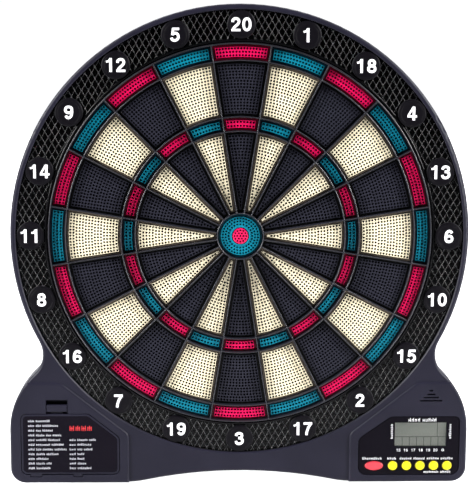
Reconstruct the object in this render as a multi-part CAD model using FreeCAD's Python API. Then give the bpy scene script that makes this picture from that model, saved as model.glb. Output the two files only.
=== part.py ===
import FreeCAD, Part
import math
import os

# Electronic dartboard for a wall, in millimetres.
# The board stands in the XZ plane: +X is to the right of a player who faces it, +Z is up, and
# the front looks along -Y. The back lies on the plane y = 0, and the origin is there, on the
# axis of the bull. Depths below are y values, so a deeper place has a larger value.

# ---- driving dimensions: outline of the housing --------------------------------------------
ring_outer_radius = 206.5
lobe_half_width = 210.0
lobe_side_radius = 72.0
lobe_centre_z = -180.0
neck_radius = 25.0
foot_z = -230.0
foot_corner_radius = 14.0
arch_top_z = -219.4
arch_radius = 430.0
arch_end_radius = 90.0
lobe_inner_x, lobe_top_z = 101.3, -134.6
lobe_slope_corners = [(lobe_inner_x, -183.4, 8.0), (163.2, lobe_top_z, 12.0)]
housing_edge_round, lobe_edge_round, cover_edge_round = 3.0, 2.4, 1.2

# ---- driving dimensions: depths ------------------------------------------------------------
platform_front = -28.0
housing_front = -26.4
housing_inside = -24.2
seam = -8.0
cover_inside = -2.2
wall = 2.2

# ---- driving dimensions: scoring face ------------------------------------------------------
sectors = 20
sector_angle = 360.0 / sectors
double_outer = 172.0
double_inner = 157.0
triple_outer = 107.3
triple_inner = 94.5
bull_ring = 20.8
rib_half = 0.6
spider_front = -27.0
spider_back = -21.0
segment_floor = -22.0
segment_top = -23.6
flange_front = -20.6
segment_back = -18.5
body_gap = 0.4
plateau_inset = 2.7
flange_inset = 0.25
spider_flange_outer = 180.6
spider_flange_back = -19.2
inner_bull_radius = 7.4
inner_bull_front = -24.0
inner_bull_flange, inner_bull_flange_front = 8.8, -19.0
bull_collar_inner, bull_collar_outer = 7.9, 8.8
bull_collar_front = -24.4
bull_top_inner, bull_top_outer = 9.4, 17.6
bull_relief, bull_relief_front = 12.0, -20.2

# ---- driving dimensions: catch ring and its back -------------------------------------------
window_radius = 201.6
window_bevel = 0.8
catch_front = -24.6
catch_inside = -22.2
catch_inner = 173.0
catch_outer = 201.2
catch_flange = 203.8
disc_radius = 12.6
disc_centre = 188.4
disc_front = -25.8
catch_wall = 1.5
plate_radius = 196.0
plate_front = -15.4
plate_back = -13.0
mat_front = -17.3
mat_back = -16.0
layer_radius = 175.4
tail_angle = 147.0
tail_half = 7.0
tail_end = 213.0

# ---- driving dimensions: battery door on the left, control panel on the right ---------------
door_left, door_right = -199.8, -110.2
door_top, door_bottom = -164.2, -221.3
door_front, door_back = -27.9, -26.1
door_gap = 0.4
door_side_corner, door_slope_corner = 5.0, 6.0
door_corners = [(door_left, door_bottom, door_side_corner), (door_left, door_top, door_side_corner),
                (-138.0, door_top, door_slope_corner), (door_right, -186.2, door_slope_corner),
                (door_right, door_bottom, door_side_corner)]
label_corners = [(-197.9, -219.5, 3.6), (-197.9, -166.3, 3.6), (-138.9, -166.3, 5.0),
                 (-112.2, -187.2, 5.0), (-112.2, -219.5, 3.6)]
label_back = -27.5
hinge_y, hinge_z = (door_front + door_back) / 2, door_bottom + 0.9
tab_ranges = ((-191.9, -181.5), (-152.3, -144.3))
tab_half, tab_reach = 0.6, 2.2
latch_left, latch_right = -176.9, -157.1
latch_bar_bottom, latch_bar_top = -162.2, -155.7
latch_well_top, latch_well_bottom = -150.9, door_top
latch_well_floor = -20.4
tongue_left, tongue_right = -172.0, -162.0
tongue_front, tongue_back = -25.7, -24.3
tongue_bottom = -172.0
panel_left, panel_right = 109.7, 203.2
panel_top, panel_bottom = -167.3, -223.0
panel_front, panel_back = -27.5, -26.0
panel_seat = -25.9
ledge = 2.4
panel_corners = [(panel_left, panel_bottom, 8.0), (panel_left, -188.2, 8.0), (139.3, panel_top, 8.0),
                 (panel_right, panel_top, 5.0), (panel_right, panel_bottom, 8.0)]
button_z = -214.2
button_front = -28.6
round_button_x = (141.8, 154.6, 167.1, 179.7, 192.2)
oval_button_x = 124.3
oval_half_x, oval_half_z = 8.6, 4.5
round_button_radius = 4.5
button_gap = 0.4
button_flange_extra, button_flange_thickness = 1.1, 1.0
stem_radius, stem_end = 1.8, -23.0
lcd_left, lcd_right = 143.4, 190.6
lcd_top, lcd_bottom = -173.4, -195.6
lcd_back = -23.2
speaker_x, speaker_z = 176.0, -148.0
speaker_frame_radius, speaker_magnet_radius = 13.5, 7.0
speaker_frame_back, speaker_magnet_back = -20.5, -16.5
speaker_slot_height = 1.5
speaker_slots_z_width = ((-142.8, 3.4), (-146.4, 7.6), (-149.4, 14.0), (-152.4, 20.4))

# ---- driving dimensions: circuit board and battery box -------------------------------------
pcb_front, pcb_back = -17.6, -16.0
pcb_corners = [(113.0, -221.0, 2.0), (113.0, -188.0, 2.0), (124.0, -173.0, 2.0),
               (200.4, -173.0, 2.0), (200.4, -221.0, 2.0)]
post_places = ((136.5, -176.0), (197.0, -176.0), (197.0, -204.0), (116.5, -204.0))
post_radius, post_hole_radius = 2.2, 1.0
switch_top, switch_nub = -21.1, -21.9
chip_x, chip_z, chip_radius, chip_height = 168.0, -188.0, 8.2, 2.65
box_left, box_right = -189.3, -128.9
box_top, box_bottom = -169.4, -218.6
box_front, box_back = -23.6, -5.5
box_wall = 1.4
cell_radius = 7.1
cell_length = 49.5
cell_pitch = 15.2
cell_z = -194.0
cell_y = -14.8
nub_length, nub_radius = 1.0, 2.75
contact_plate = 0.4
plate_play = 0.1
spring_turns, spring_wire, spring_pitch = 7, 0.45, 0.85
spring_radius, spring_taper = 3.6, 0.28

# ---- driving dimensions: rear cover and screws ---------------------------------------------
keyhole_x, keyhole_z = 80.0, 150.0
keyhole_radius, keyhole_slot_half, keyhole_slot_rise = 4.5, 2.2, 9.0
support_ribs = (60.0, 120.0, 176.0)
screw_radius = 1.4
head_radius, head_height = 2.8, 2.0
cross_half, cross_depth = 0.35, 0.8
counterbore = 3.0
pilot_radius = 1.5
boss_radius = 3.6
ring_boss_radius = 201.0
ring_boss_angles = (0, 40, 80, 115, -115, -80, -40)
lobe_bosses = ((-192.0, -158.0), (-110.0, -214.0), (0.0, -211.0), (101.0, -216.0), (197.0, -160.0))
plate_boss_centre = 188.0
plate_screw_count = 10
plate_boss_radius = 3.2

# ---- driving dimensions: inside wires ------------------------------------------------------
wire_diameter = 1.0
arc_share = 0.45
lead_spacing = -2.2
speaker_lead_offsets = (-2.5, 2.5)
battery_lead_route = (
    (-128.8, -9.0, -200.0), (-113.0, -9.0, -201.6), (-84.0, -9.2, -203.6), (-38.0, -9.0, -202.4),
    (12.0, -9.3, -203.4), (60.0, -9.0, -202.2), (90.0, -9.2, -203.6), (107.0, -9.0, -202.2),
    (118.0, -9.0, -199.0), (125.0, -9.4, -196.5), (125.8, -15.9, -196.3),
)
speaker_lead_route = (
    (0.0, -20.4, -157.6), (0.0, -9.3, -157.8), (0.5, -9.0, -168.0), (0.3, -9.2, -178.0), (0.2, -15.9, -178.2),
)

# ---- names and directions ------------------------------------------------------------------
dial_numbers = (20, 1, 18, 4, 13, 6, 10, 15, 2, 17, 3, 19, 7, 16, 8, 11, 14, 9, 12, 5)
round_button_names = ("game_button", "player_button", "option_button", "bounce_button", "double_button")

front_way = FreeCAD.Vector(0, 1, 0)
touching = 0.05


# ---- drawing helpers -----------------------------------------------------------------------
def point(x, z, y=0.0):
    return FreeCAD.Vector(x, y, z)


def clockwise(angle):
    """Unit directions along a radius and across it, for an angle clockwise from the top."""
    a = math.radians(angle)
    return (math.sin(a), math.cos(a)), (math.cos(a), -math.sin(a))


def polar(radius, angle):
    (ux, uz), _ = clockwise(angle)
    return radius * ux, radius * uz


def circle(radius, x=0.0, z=0.0):
    return Part.Wire(Part.makeCircle(radius, point(x, z), front_way))


def rectangle(x0, x1, z0, z1):
    return Part.makePolygon([point(x0, z0), point(x1, z0), point(x1, z1), point(x0, z1), point(x0, z0)])


def rounded(corners, grow=0.0):
    """Closed outline through (x, z, radius) corners given clockwise, each rounded by its radius."""
    count = len(corners)
    lines = []
    for i in range(count):
        x0, z0, _ = corners[i]
        x1, z1, _ = corners[(i + 1) % count]
        length = math.hypot(x1 - x0, z1 - z0)
        dx, dz = (x1 - x0) / length, (z1 - z0) / length
        lines.append((x0 - dz * grow, z0 + dx * grow, dx, dz))
    edges = []
    ends = []
    for i in range(count):
        x0, z0, dx0, dz0 = lines[i - 1]
        x1, z1, dx1, dz1 = lines[i]
        cross = dx0 * dz1 - dz0 * dx1
        t = ((x1 - x0) * dz1 - (z1 - z0) * dx1) / cross
        x, z = x0 + dx0 * t, z0 + dz0 * t
        radius = max(corners[i][2] + (grow if cross < 0 else -grow), 0.2)
        turn = math.acos(max(-1.0, min(1.0, dx0 * dx1 + dz0 * dz1)))
        back = radius * math.tan(turn / 2)
        start, end = (x - dx0 * back, z - dz0 * back), (x + dx1 * back, z + dz1 * back)
        bx, bz = dx1 - dx0, dz1 - dz0
        size = math.hypot(bx, bz)
        reach = radius * (1 / math.cos(turn / 2) - 1)
        middle = (x + bx / size * reach, z + bz / size * reach)
        ends.append((start, middle, end))
    for i in range(count):
        start, middle, end = ends[i]
        edges.append(Part.Arc(point(*start), point(*middle), point(*end)).toShape())
        edges.append(Part.LineSegment(point(*end), point(*ends[(i + 1) % count][0])).toShape())
    return Part.Wire(edges)


def face_of(wires):
    return Part.makeFace(wires, "Part::FaceMakerBullseye")


def prism(wires, front, back):
    """Solid between two depths. The first wire is the outline and the others are holes in it."""
    face = face_of(wires if isinstance(wires, list) else [wires])
    face.translate(FreeCAD.Vector(0, front, 0))
    return face.extrude(FreeCAD.Vector(0, back - front, 0))


def disc(radius, front, back, x=0.0, z=0.0):
    return Part.makeCylinder(radius, back - front, point(x, z, front), front_way)


def ring(inner, outer, front, back):
    return prism([circle(outer), circle(inner)], front, back)


def block(x0, x1, y0, y1, z0, z1):
    return Part.makeBox(x1 - x0, y1 - y0, z1 - z0, FreeCAD.Vector(x0, y0, z0))


def edges_at_depth(shape, y, tolerance=0.01):
    return [e for e in shape.Edges if e.BoundBox.YMin > y - tolerance and e.BoundBox.YMax < y + tolerance]


def fused(shapes):
    whole = shapes[0].fuse(shapes[1:]) if len(shapes) > 1 else shapes[0]
    return whole.removeSplitter()


# ---- outline of the housing ----------------------------------------------------------------
def arc_between(centre, radius, start, end):
    """Arc of the given circle from start to end, by the shorter way."""
    mx, mz = (start[0] + end[0]) / 2 - centre[0], (start[1] + end[1]) / 2 - centre[1]
    size = math.hypot(mx, mz)
    middle = (centre[0] + mx / size * radius, centre[1] + mz / size * radius)
    return Part.Arc(point(*start), point(*middle), point(*end)).toShape()


def housing_outline(inset=0.0):
    """The round body, its two lobes and the arch between them, moved inwards by inset."""
    ring_r = ring_outer_radius - inset
    lobe_r = lobe_side_radius - inset
    neck_r = neck_radius + inset
    lobe = (lobe_half_width - lobe_side_radius, lobe_centre_z)
    to_lobe = math.hypot(*lobe)
    from_ring, from_lobe = ring_r + neck_r, lobe_r + neck_r
    along = (from_ring ** 2 - from_lobe ** 2 + to_lobe ** 2) / (2 * to_lobe)
    off = math.sqrt(from_ring ** 2 - along ** 2)
    ux, uz = lobe[0] / to_lobe, lobe[1] / to_lobe
    neck = (ux * along - uz * off, uz * along + ux * off)
    ring_neck = (neck[0] * ring_r / from_ring, neck[1] * ring_r / from_ring)
    share = lobe_r / from_lobe
    lobe_neck = (lobe[0] + (neck[0] - lobe[0]) * share, lobe[1] + (neck[1] - lobe[1]) * share)
    side_x = lobe_half_width - inset
    corner = (lobe_half_width - foot_corner_radius, foot_z + foot_corner_radius)
    corner_r = foot_corner_radius - inset
    arch_z = arch_top_z - arch_radius
    rise = foot_z + arch_end_radius - arch_z
    arch_end = (math.sqrt((arch_radius + arch_end_radius) ** 2 - rise ** 2), foot_z + arch_end_radius)
    arch_r, end_r = arch_radius + inset, arch_end_radius - inset
    arch_share = arch_r / (arch_radius + arch_end_radius)
    arch_touch = (arch_end[0] * arch_share, arch_z + (arch_end[1] - arch_z) * arch_share)

    right = [
        arc_between(neck, neck_r, ring_neck, lobe_neck),
        arc_between(lobe, lobe_r, lobe_neck, (side_x, lobe_centre_z)),
        Part.LineSegment(point(side_x, lobe_centre_z), point(side_x, corner[1])).toShape(),
        arc_between(corner, corner_r, (side_x, corner[1]), (corner[0], foot_z + inset)),
        Part.LineSegment(point(corner[0], foot_z + inset), point(arch_end[0], foot_z + inset)).toShape(),
        arc_between(arch_end, end_r, (arch_end[0], foot_z + inset), arch_touch),
    ]
    left = [edge.mirror(point(0, 0), FreeCAD.Vector(1, 0, 0)) for edge in right]
    x, z = ring_neck
    top = Part.Arc(point(-x, z), point(0, ring_r), point(x, z)).toShape()
    x, z = arch_touch
    arch = Part.Arc(point(x, z), point(0, arch_top_z + inset), point(-x, z)).toShape()
    return Part.Wire(Part.__sortEdges__([top] + right + [arch] + left))


def lobe_region(side):
    """Area of a raised lobe, on the right for side 1 and on the left for side -1."""
    beyond = 240.0
    corners = [(beyond, lobe_top_z, 1.0), (beyond, -beyond, 1.0), (lobe_inner_x, -beyond, 1.0)]
    wire = rounded(corners + lobe_slope_corners)
    if side < 0:
        wire = wire.mirror(point(0, 0), FreeCAD.Vector(1, 0, 0))
    return wire


# ---- front housing -------------------------------------------------------------------------
def boss_places():
    places = [polar(ring_boss_radius, angle) for angle in ring_boss_angles]
    return places + list(lobe_bosses)


def speaker_slots():
    """Four sound slots that widen downwards."""
    shapes = []
    for z, width in speaker_slots_z_width:
        x0, x1 = speaker_x - width / 2, speaker_x + width / 2
        z0, z1 = z - speaker_slot_height / 2, z + speaker_slot_height / 2
        corners = [(x0, z0, 0.5), (x0, z1, 0.5), (x1, z1, 0.5), (x1, z0, 0.5)]
        shapes.append(prism(rounded(corners), platform_front - 1, housing_inside + 1))
    return shapes


def make_front_housing():
    base = prism(housing_outline(), housing_front, seam)
    base = base.makeFillet(housing_edge_round, edges_at_depth(base, housing_front))
    solids = [base]
    for side in (-1, 1):
        lobe = prism(housing_outline(), platform_front, seam).common(
            prism(lobe_region(side), platform_front, seam)).Solids[0]
        solids.append(lobe.makeFillet(lobe_edge_round, edges_at_depth(lobe, platform_front)))
    shell = fused(solids)
    cuts = [prism(housing_outline(wall), housing_inside, seam + 1)]
    cuts.append(disc(window_radius, platform_front - 1, housing_inside + 1))
    cuts.append(Part.makeCone(window_radius + window_bevel + 1, window_radius, window_bevel + 1,
                              point(0, 0, housing_front - 1), front_way))
    cuts.append(prism(rounded(panel_corners, 0.2), platform_front - 1, panel_seat))
    cuts.append(prism(rounded(panel_corners, -ledge), panel_seat - 1, housing_inside + 1))
    door_seat = door_back + door_gap
    cuts.append(prism(rounded(door_corners, door_gap), platform_front - 1, door_seat))
    cuts.append(block(door_left + door_side_corner, door_right - door_side_corner, platform_front - 1,
                      door_seat, door_bottom - door_gap - 0.3, door_bottom + door_side_corner))
    cuts.append(prism(rounded(door_corners, -ledge), door_seat - 1, housing_inside + 1))
    for x0, x1 in tab_ranges:
        cuts.append(block(x0 - door_gap, x1 + door_gap, platform_front - 1, housing_inside + 1,
                          door_bottom - tab_reach - 0.5, door_bottom + 4))
    cuts += speaker_slots()
    shell = shell.cut(cuts)

    well_wall = 1.5
    well = block(latch_left - well_wall, latch_right + well_wall, housing_inside - 1,
                 latch_well_floor + well_wall, latch_well_bottom + 1, latch_well_top + well_wall)
    recess = block(latch_left, latch_right, platform_front - 1, latch_well_floor,
                   latch_well_bottom - 3, latch_well_top)
    shell = shell.fuse(well).cut(recess)
    for x, z in boss_places():
        shell = shell.fuse(disc(boss_radius, boss_front(x, z), seam, x, z))
        shell = shell.cut(disc(pilot_radius, boss_front(x, z) + 1.5, seam + 1, x, z))
    return shell.removeSplitter()


def boss_front(x, z):
    """A boss by the ring starts behind the catch ring's flange, and a lobe boss at the front wall."""
    return housing_inside - 0.5 if math.hypot(x, z) > catch_flange + boss_radius else catch_inside + 0.4


# ---- rear cover ----------------------------------------------------------------------------
def keyhole(x):
    entry = disc(keyhole_radius, cover_inside - 1, 1.0, x, keyhole_z)
    slot = block(x - keyhole_slot_half, x + keyhole_slot_half, cover_inside - 1, 1.0,
                 keyhole_z, keyhole_z + keyhole_slot_rise)
    end = disc(keyhole_slot_half, cover_inside - 1, 1.0, x, keyhole_z + keyhole_slot_rise)
    return [entry, slot, end]


def make_rear_cover():
    cover = prism(housing_outline(), seam + touching, 0.0)
    cover = cover.makeFillet(cover_edge_round, edges_at_depth(cover, 0.0))
    cover = cover.cut(prism(housing_outline(wall), seam - 1, cover_inside))
    extras = []
    for radius in support_ribs:
        extras.append(ring(radius - 0.8, radius + 0.8, plate_back + touching, cover_inside + 0.5))
    for x, z in boss_places():
        extras.append(disc(boss_radius, seam + touching, cover_inside + 0.5, x, z))
    for x in (box_left + 12, box_right - 12):
        extras.append(block(x - 0.8, x + 0.8, box_back + touching, cover_inside + 0.5, box_bottom, box_top))
    cover = fused([cover] + extras)
    cuts = keyhole(keyhole_x) + keyhole(-keyhole_x)
    for x, z in boss_places():
        cuts.append(disc(pilot_radius + 0.2, seam - 1, 1.0, x, z))
        cuts.append(disc(head_radius + 0.4, -counterbore, 1.0, x, z))
    return cover.cut(cuts).removeSplitter()


def screw(x, z, head_front, way, length, head_r=head_radius, shank_r=screw_radius, head_h=head_height):
    """Pan-head screw. Its head's underside is at head_front and the shank runs by way, -1 or 1, along Y."""
    shank = Part.makeCylinder(shank_r, length, point(x, z, head_front), FreeCAD.Vector(0, way, 0))
    head = Part.makeCylinder(head_r, head_h, point(x, z, head_front), FreeCAD.Vector(0, -way, 0))
    slot_end = head_front - way * head_h
    low, high = sorted((slot_end, slot_end + way * cross_depth))
    arm = head_r * 0.6
    cross = block(x - cross_half, x + cross_half, low, high, z - arm, z + arm).fuse(
        block(x - arm, x + arm, low, high, z - cross_half, z + cross_half))
    return shank.fuse(head).removeSplitter().cut(cross)


def make_housing_screws():
    return Part.makeCompound([screw(x, z, -counterbore, -1, 13.0) for x, z in boss_places()])


# ---- catch ring ----------------------------------------------------------------------------
def plate_screw_places():
    step = 360.0 / plate_screw_count
    return [polar(plate_boss_centre, step / 2 + step * k) for k in range(plate_screw_count)]


def make_catch_ring():
    skin = ring(catch_inner, catch_outer, catch_front, catch_inside)
    flange = ring(catch_outer - 1, catch_flange, housing_inside + 0.1, catch_inside)
    inner_wall = ring(catch_inner, catch_inner + catch_wall, catch_inside - 0.5, spider_back - 0.1)
    outer_wall = ring(plate_radius - catch_wall, plate_radius, catch_inside - 0.5, plate_front - 0.5)
    parts = [skin, flange, inner_wall, outer_wall]
    for k in range(sectors):
        x, z = polar(disc_centre, sector_angle * k)
        parts.append(disc(disc_radius, disc_front, catch_inside - 0.5, x, z).cut(
            disc(catch_inner, disc_front - 1, catch_inside)))
    for x, z in plate_screw_places():
        parts.append(disc(plate_boss_radius, catch_inside - 0.5, plate_front - touching, x, z))
    whole = fused(parts)
    return whole.cut([disc(pilot_radius, catch_inside + 0.6, 0.0, x, z) for x, z in plate_screw_places()])


# ---- spider and the scoring segments -------------------------------------------------------
def sector_cell(inner, outer, centre_angle, gap):
    """Closed outline between two radial ribs, gap away from their centrelines."""
    (u0x, u0z), (n0x, n0z) = clockwise(centre_angle - sector_angle / 2)
    (u1x, u1z), (n1x, n1z) = clockwise(centre_angle + sector_angle / 2)

    def near_left(radius):
        run = math.sqrt(radius ** 2 - gap ** 2)
        return point(run * u0x + gap * n0x, run * u0z + gap * n0z)

    def near_right(radius):
        run = math.sqrt(radius ** 2 - gap ** 2)
        return point(run * u1x - gap * n1x, run * u1z - gap * n1z)

    return Part.Wire([
        Part.Arc(near_left(outer), point(*polar(outer, centre_angle)), near_right(outer)).toShape(),
        Part.LineSegment(near_right(outer), near_right(inner)).toShape(),
        Part.Arc(near_right(inner), point(*polar(inner, centre_angle)), near_left(inner)).toShape(),
        Part.LineSegment(near_left(inner), near_left(outer)).toShape(),
    ])


scoring_rings = ((double_inner, double_outer), (triple_outer, double_inner),
                 (triple_inner, triple_outer), (bull_ring, triple_inner))


def make_spider():
    wires = [circle(double_outer + rib_half), circle(bull_ring - rib_half)]
    for k in range(sectors):
        for inner, outer in scoring_rings:
            wires.append(sector_cell(inner + rib_half, outer - rib_half, sector_angle * k, rib_half))
    ribs = prism(wires, spider_front, spider_back)
    rim = ring(double_outer - rib_half, double_outer + rib_half, spider_back - 1, spider_flange_back)
    flange = ring(double_outer + rib_half - 0.3, spider_flange_outer, spider_back, spider_flange_back)
    return fused([ribs, rim, flange])


def make_segment(inner, outer, centre_angle):
    """One scoring segment: a solid border, a raised middle and a flange behind the ribs."""
    gap = rib_half + body_gap
    outer_flange = outer - gap if outer == double_outer else outer - flange_inset
    body = prism(sector_cell(inner + gap, outer - gap, centre_angle, gap), segment_floor, flange_front)
    top = prism(sector_cell(inner + plateau_inset, outer - plateau_inset, centre_angle, plateau_inset),
                segment_top, segment_floor)
    flange = prism(sector_cell(inner + flange_inset, outer_flange, centre_angle, flange_inset),
                   flange_front, segment_back)
    return fused([body, top, flange])


def make_sector(k):
    return Part.makeCompound([make_segment(inner, outer, sector_angle * k)
                              for inner, outer in scoring_rings])


def make_outer_bull():
    edge = bull_ring - rib_half - body_gap
    body = ring(bull_collar_inner, edge, segment_floor, bull_relief_front)
    collar = ring(bull_collar_inner, bull_collar_outer, bull_collar_front, segment_floor)
    top = ring(bull_top_inner, bull_top_outer, segment_top, segment_floor)
    skirt = ring(bull_relief, edge, bull_relief_front, segment_back)
    flange = ring(bull_relief, bull_ring - flange_inset, flange_front, segment_back)
    return fused([body, collar, top, skirt, flange])


def make_inner_bull():
    body = disc(inner_bull_radius, inner_bull_front, segment_back)
    body = body.makeFillet(0.8, edges_at_depth(body, inner_bull_front))
    return fused([body, disc(inner_bull_flange, inner_bull_flange_front, segment_back)])


# ---- sensing layers behind the segments ----------------------------------------------------
def along_tail(solid):
    """Turns a shape built on the +Z axis clockwise to the direction of the sensor tail."""
    solid.rotate(point(0, 0), front_way, tail_angle)
    return solid


def make_rubber_mat():
    return disc(layer_radius, mat_front, mat_back)


def make_sensor_matrix():
    front, back = mat_back + 0.15, mat_back + 0.45
    tail = along_tail(block(-tail_half, tail_half, front, back, layer_radius - 20, tail_end))
    return fused([disc(layer_radius, front, back), tail])


def make_matrix_connector():
    return along_tail(block(-9, 9, pcb_back + touching, plate_back, tail_end, tail_end + 5))


def make_backing_plate():
    plate = disc(plate_radius, plate_front, plate_back)
    rim = ring(layer_radius + 0.4, spider_flange_outer, spider_flange_back + touching, plate_front)
    notch = along_tail(block(-tail_half - 1, tail_half + 1, spider_flange_back - 1, plate_front - touching,
                             layer_radius - 5, spider_flange_outer + 5))
    holes = [disc(pilot_radius + 0.2, plate_front - 1, 0.0, x, z) for x, z in plate_screw_places()]
    return fused([plate, rim.cut(notch)]).cut(holes)


def make_plate_screws():
    return Part.makeCompound([screw(x, z, plate_back + touching, -1, 8.0, head_h=1.8)
                              for x, z in plate_screw_places()])


# ---- control panel, its buttons and the display --------------------------------------------
def ellipse_wire(x, z, half_x, half_z):
    curve = Part.Ellipse(point(0, 0), half_x, half_z)
    edge = curve.toShape()
    edge.rotate(point(0, 0), FreeCAD.Vector(1, 0, 0), 90)
    edge.translate(point(x, z))
    return Part.Wire(edge)


def make_control_panel():
    wires = [rounded(panel_corners),
             rectangle(lcd_left - 0.2, lcd_right + 0.2, lcd_bottom - 0.2, lcd_top + 0.2),
             ellipse_wire(oval_button_x, button_z, oval_half_x + button_gap, oval_half_z + button_gap)]
    wires += [circle(round_button_radius + button_gap, x, button_z) for x in round_button_x]
    panel = prism(wires, panel_front, panel_back)
    panel = panel.makeFillet(0.5, [e for e in edges_at_depth(panel, panel_front) if not inside_window(e)])
    posts = [disc(post_radius, panel_back - 0.5, pcb_front - touching, x, z) for x, z in post_places]
    panel = fused([panel] + posts)
    return panel.cut([disc(post_hole_radius, panel_back + 1.5, 0.0, x, z) for x, z in post_places])


def inside_window(edge):
    """True for an edge of the display window or of a button hole."""
    box = edge.BoundBox
    centre_x, centre_z = (box.XMin + box.XMax) / 2, (box.ZMin + box.ZMax) / 2
    near_lcd = lcd_left - 1 < centre_x < lcd_right + 1 and lcd_bottom - 1 < centre_z < lcd_top + 1
    return near_lcd or (abs(centre_z - button_z) < 6 and panel_left + 4 < centre_x < panel_right - 4)


def button_from(cap_wire, flange_wire, x):
    flange_top = panel_back + 0.6
    cap = prism(cap_wire, button_front, flange_top)
    cap = cap.makeFillet(0.7, edges_at_depth(cap, button_front))
    flange = prism(flange_wire, flange_top, flange_top + button_flange_thickness)
    stem = disc(stem_radius, flange_top + button_flange_thickness, stem_end, x, button_z)
    return fused([cap, flange, stem])


def make_round_button(x):
    return button_from(circle(round_button_radius, x, button_z),
                       circle(round_button_radius + button_flange_extra, x, button_z), x)


def make_oval_button():
    x, extra = oval_button_x, button_flange_extra
    return button_from(ellipse_wire(x, button_z, oval_half_x, oval_half_z),
                       ellipse_wire(x, button_z, oval_half_x + extra, oval_half_z + extra), x)


def make_tact_switches():
    switches = []
    for x in (oval_button_x,) + round_button_x:
        body = block(x - 3, x + 3, switch_top, pcb_front - touching, button_z - 3, button_z + 3)
        switches.append(fused([body, disc(1.7, switch_nub, switch_top, x, button_z)]))
    return Part.makeCompound(switches)


def make_lcd_window():
    return block(lcd_left, lcd_right, panel_front + 0.2, panel_back - 0.1, lcd_bottom, lcd_top)


def make_lcd_glass():
    edge = 2.4
    return block(lcd_left - edge, lcd_right + edge, panel_back + 0.1, lcd_back,
                 lcd_bottom - edge, lcd_top + edge)


def make_zebra_strips():
    strips = [block(lcd_left, lcd_right, lcd_back, pcb_front, z - 1.2, z + 1.2)
              for z in (lcd_top + 0.8, lcd_bottom - 0.8)]
    return Part.makeCompound(strips)


def make_main_pcb():
    board = prism(rounded(pcb_corners), pcb_front, pcb_back)
    return board.cut([disc(1.2, pcb_front - 1, pcb_back + 1, x, z) for x, z in post_places])


def make_pcb_screws():
    return Part.makeCompound([screw(x, z, pcb_back + touching, -1, 6.5, 2.0, 0.9, 1.3)
                              for x, z in post_places])


def make_controller_chip():
    """The chip under its moulded drop of resin, on the back of the circuit board."""
    foot = pcb_back + touching
    sphere_radius = (chip_radius ** 2 + chip_height ** 2) / (2 * chip_height)
    drop = Part.makeSphere(sphere_radius)
    drop.translate(point(chip_x, chip_z, foot + chip_height - sphere_radius))
    return drop.common(block(chip_x - chip_radius - 1, chip_x + chip_radius + 1, foot, foot + chip_height + 1,
                             chip_z - chip_radius - 1, chip_z + chip_radius + 1))


def make_speaker():
    frame = disc(speaker_frame_radius, housing_inside + 0.1, speaker_frame_back, speaker_x, speaker_z)
    magnet = disc(speaker_magnet_radius, speaker_frame_back, speaker_magnet_back, speaker_x, speaker_z)
    return fused([frame, magnet])


# ---- battery door, latch, box and cells ----------------------------------------------------
def make_battery_door():
    plate = prism(rounded(door_corners), door_front, door_back)
    low_edges = [e for e in plate.Edges if abs(e.BoundBox.ZMin - door_bottom) < 0.01
                 and abs(e.BoundBox.ZMax - door_bottom) < 0.01 and e.BoundBox.XLength > 20]
    plate = plate.makeFillet(0.85, low_edges)
    plate = plate.cut(prism(rounded(label_corners, 0.15), door_front - 1, label_back))
    extras = [block(x0, x1, hinge_y - tab_half, hinge_y + tab_half, door_bottom - tab_reach, hinge_z)
              for x0, x1 in tab_ranges]
    for x in (tongue_left - door_gap - 0.8, tongue_right + door_gap):
        extras.append(block(x, x + 0.8, door_back - 0.3, tongue_back - 0.2,
                            tongue_bottom, door_top - 1.4))
    return fused([plate] + extras)


def make_games_label():
    return prism(rounded(label_corners), label_back - 0.3, label_back - touching)


def make_door_latch():
    bar = block(latch_left + 0.5, latch_right - 0.5, door_front, tongue_back, latch_bar_bottom, latch_bar_top)
    bar = bar.makeFillet(0.6, edges_at_depth(bar, door_front))
    tongue = block(tongue_left, tongue_right, tongue_front, tongue_back, tongue_bottom, latch_bar_bottom + 1)
    return fused([bar, tongue])


def make_battery_box():
    outside = block(box_left, box_right, box_front, box_back, box_bottom, box_top)
    inside = block(box_left + box_wall, box_right - box_wall, box_front - 1, box_back - box_wall,
                   box_bottom + box_wall, box_top - box_wall)
    box = outside.cut(inside)
    cradle_front = cell_y + 3.6
    for k in (-0.5, 0.5):
        z = cell_z + cell_pitch * k
        box = box.fuse(block(box_left + 0.5, box_right - 0.5, cradle_front, box_back - 0.5, z - 0.5, z + 0.5))
    return box.removeSplitter()


def make_battery_cells():
    """Three AA cells, every second one turned round, each nub against its contact plate."""
    cells = []
    from_wall = box_wall + touching + contact_plate + plate_play
    for k in (-1, 0, 1):
        z = cell_z + cell_pitch * k
        if k == 0:
            nub_x = box_left + from_wall
            start = nub_x + nub_length
        else:
            nub_x = box_right - from_wall - nub_length
            start = nub_x - cell_length
        body = Part.makeCylinder(cell_radius, cell_length, FreeCAD.Vector(start, cell_y, z),
                                 FreeCAD.Vector(1, 0, 0))
        nub = Part.makeCylinder(nub_radius, nub_length, FreeCAD.Vector(nub_x, cell_y, z),
                                FreeCAD.Vector(1, 0, 0))
        cells.append(fused([body, nub]))
    return Part.makeCompound(cells)


def contact_spring(x, z, way):
    """Coiled contact: stacked turns that narrow towards the cell, on a plate."""
    shapes = [flat_contact(x, z, way)]
    for k in range(spring_turns):
        along = contact_plate + spring_pitch * k + spring_wire * 0.8
        centre = FreeCAD.Vector(x + way * along, cell_y, z)
        shapes.append(Part.makeTorus(spring_radius - spring_taper * k, spring_wire, centre,
                                     FreeCAD.Vector(1, 0, 0)))
    return fused(shapes)


def flat_contact(x, z, way):
    low, high = sorted((x, x + way * contact_plate))
    return block(low, high, cell_y - 5.5, cell_y + 3.0, z - 4.5, z + 4.5)


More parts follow.
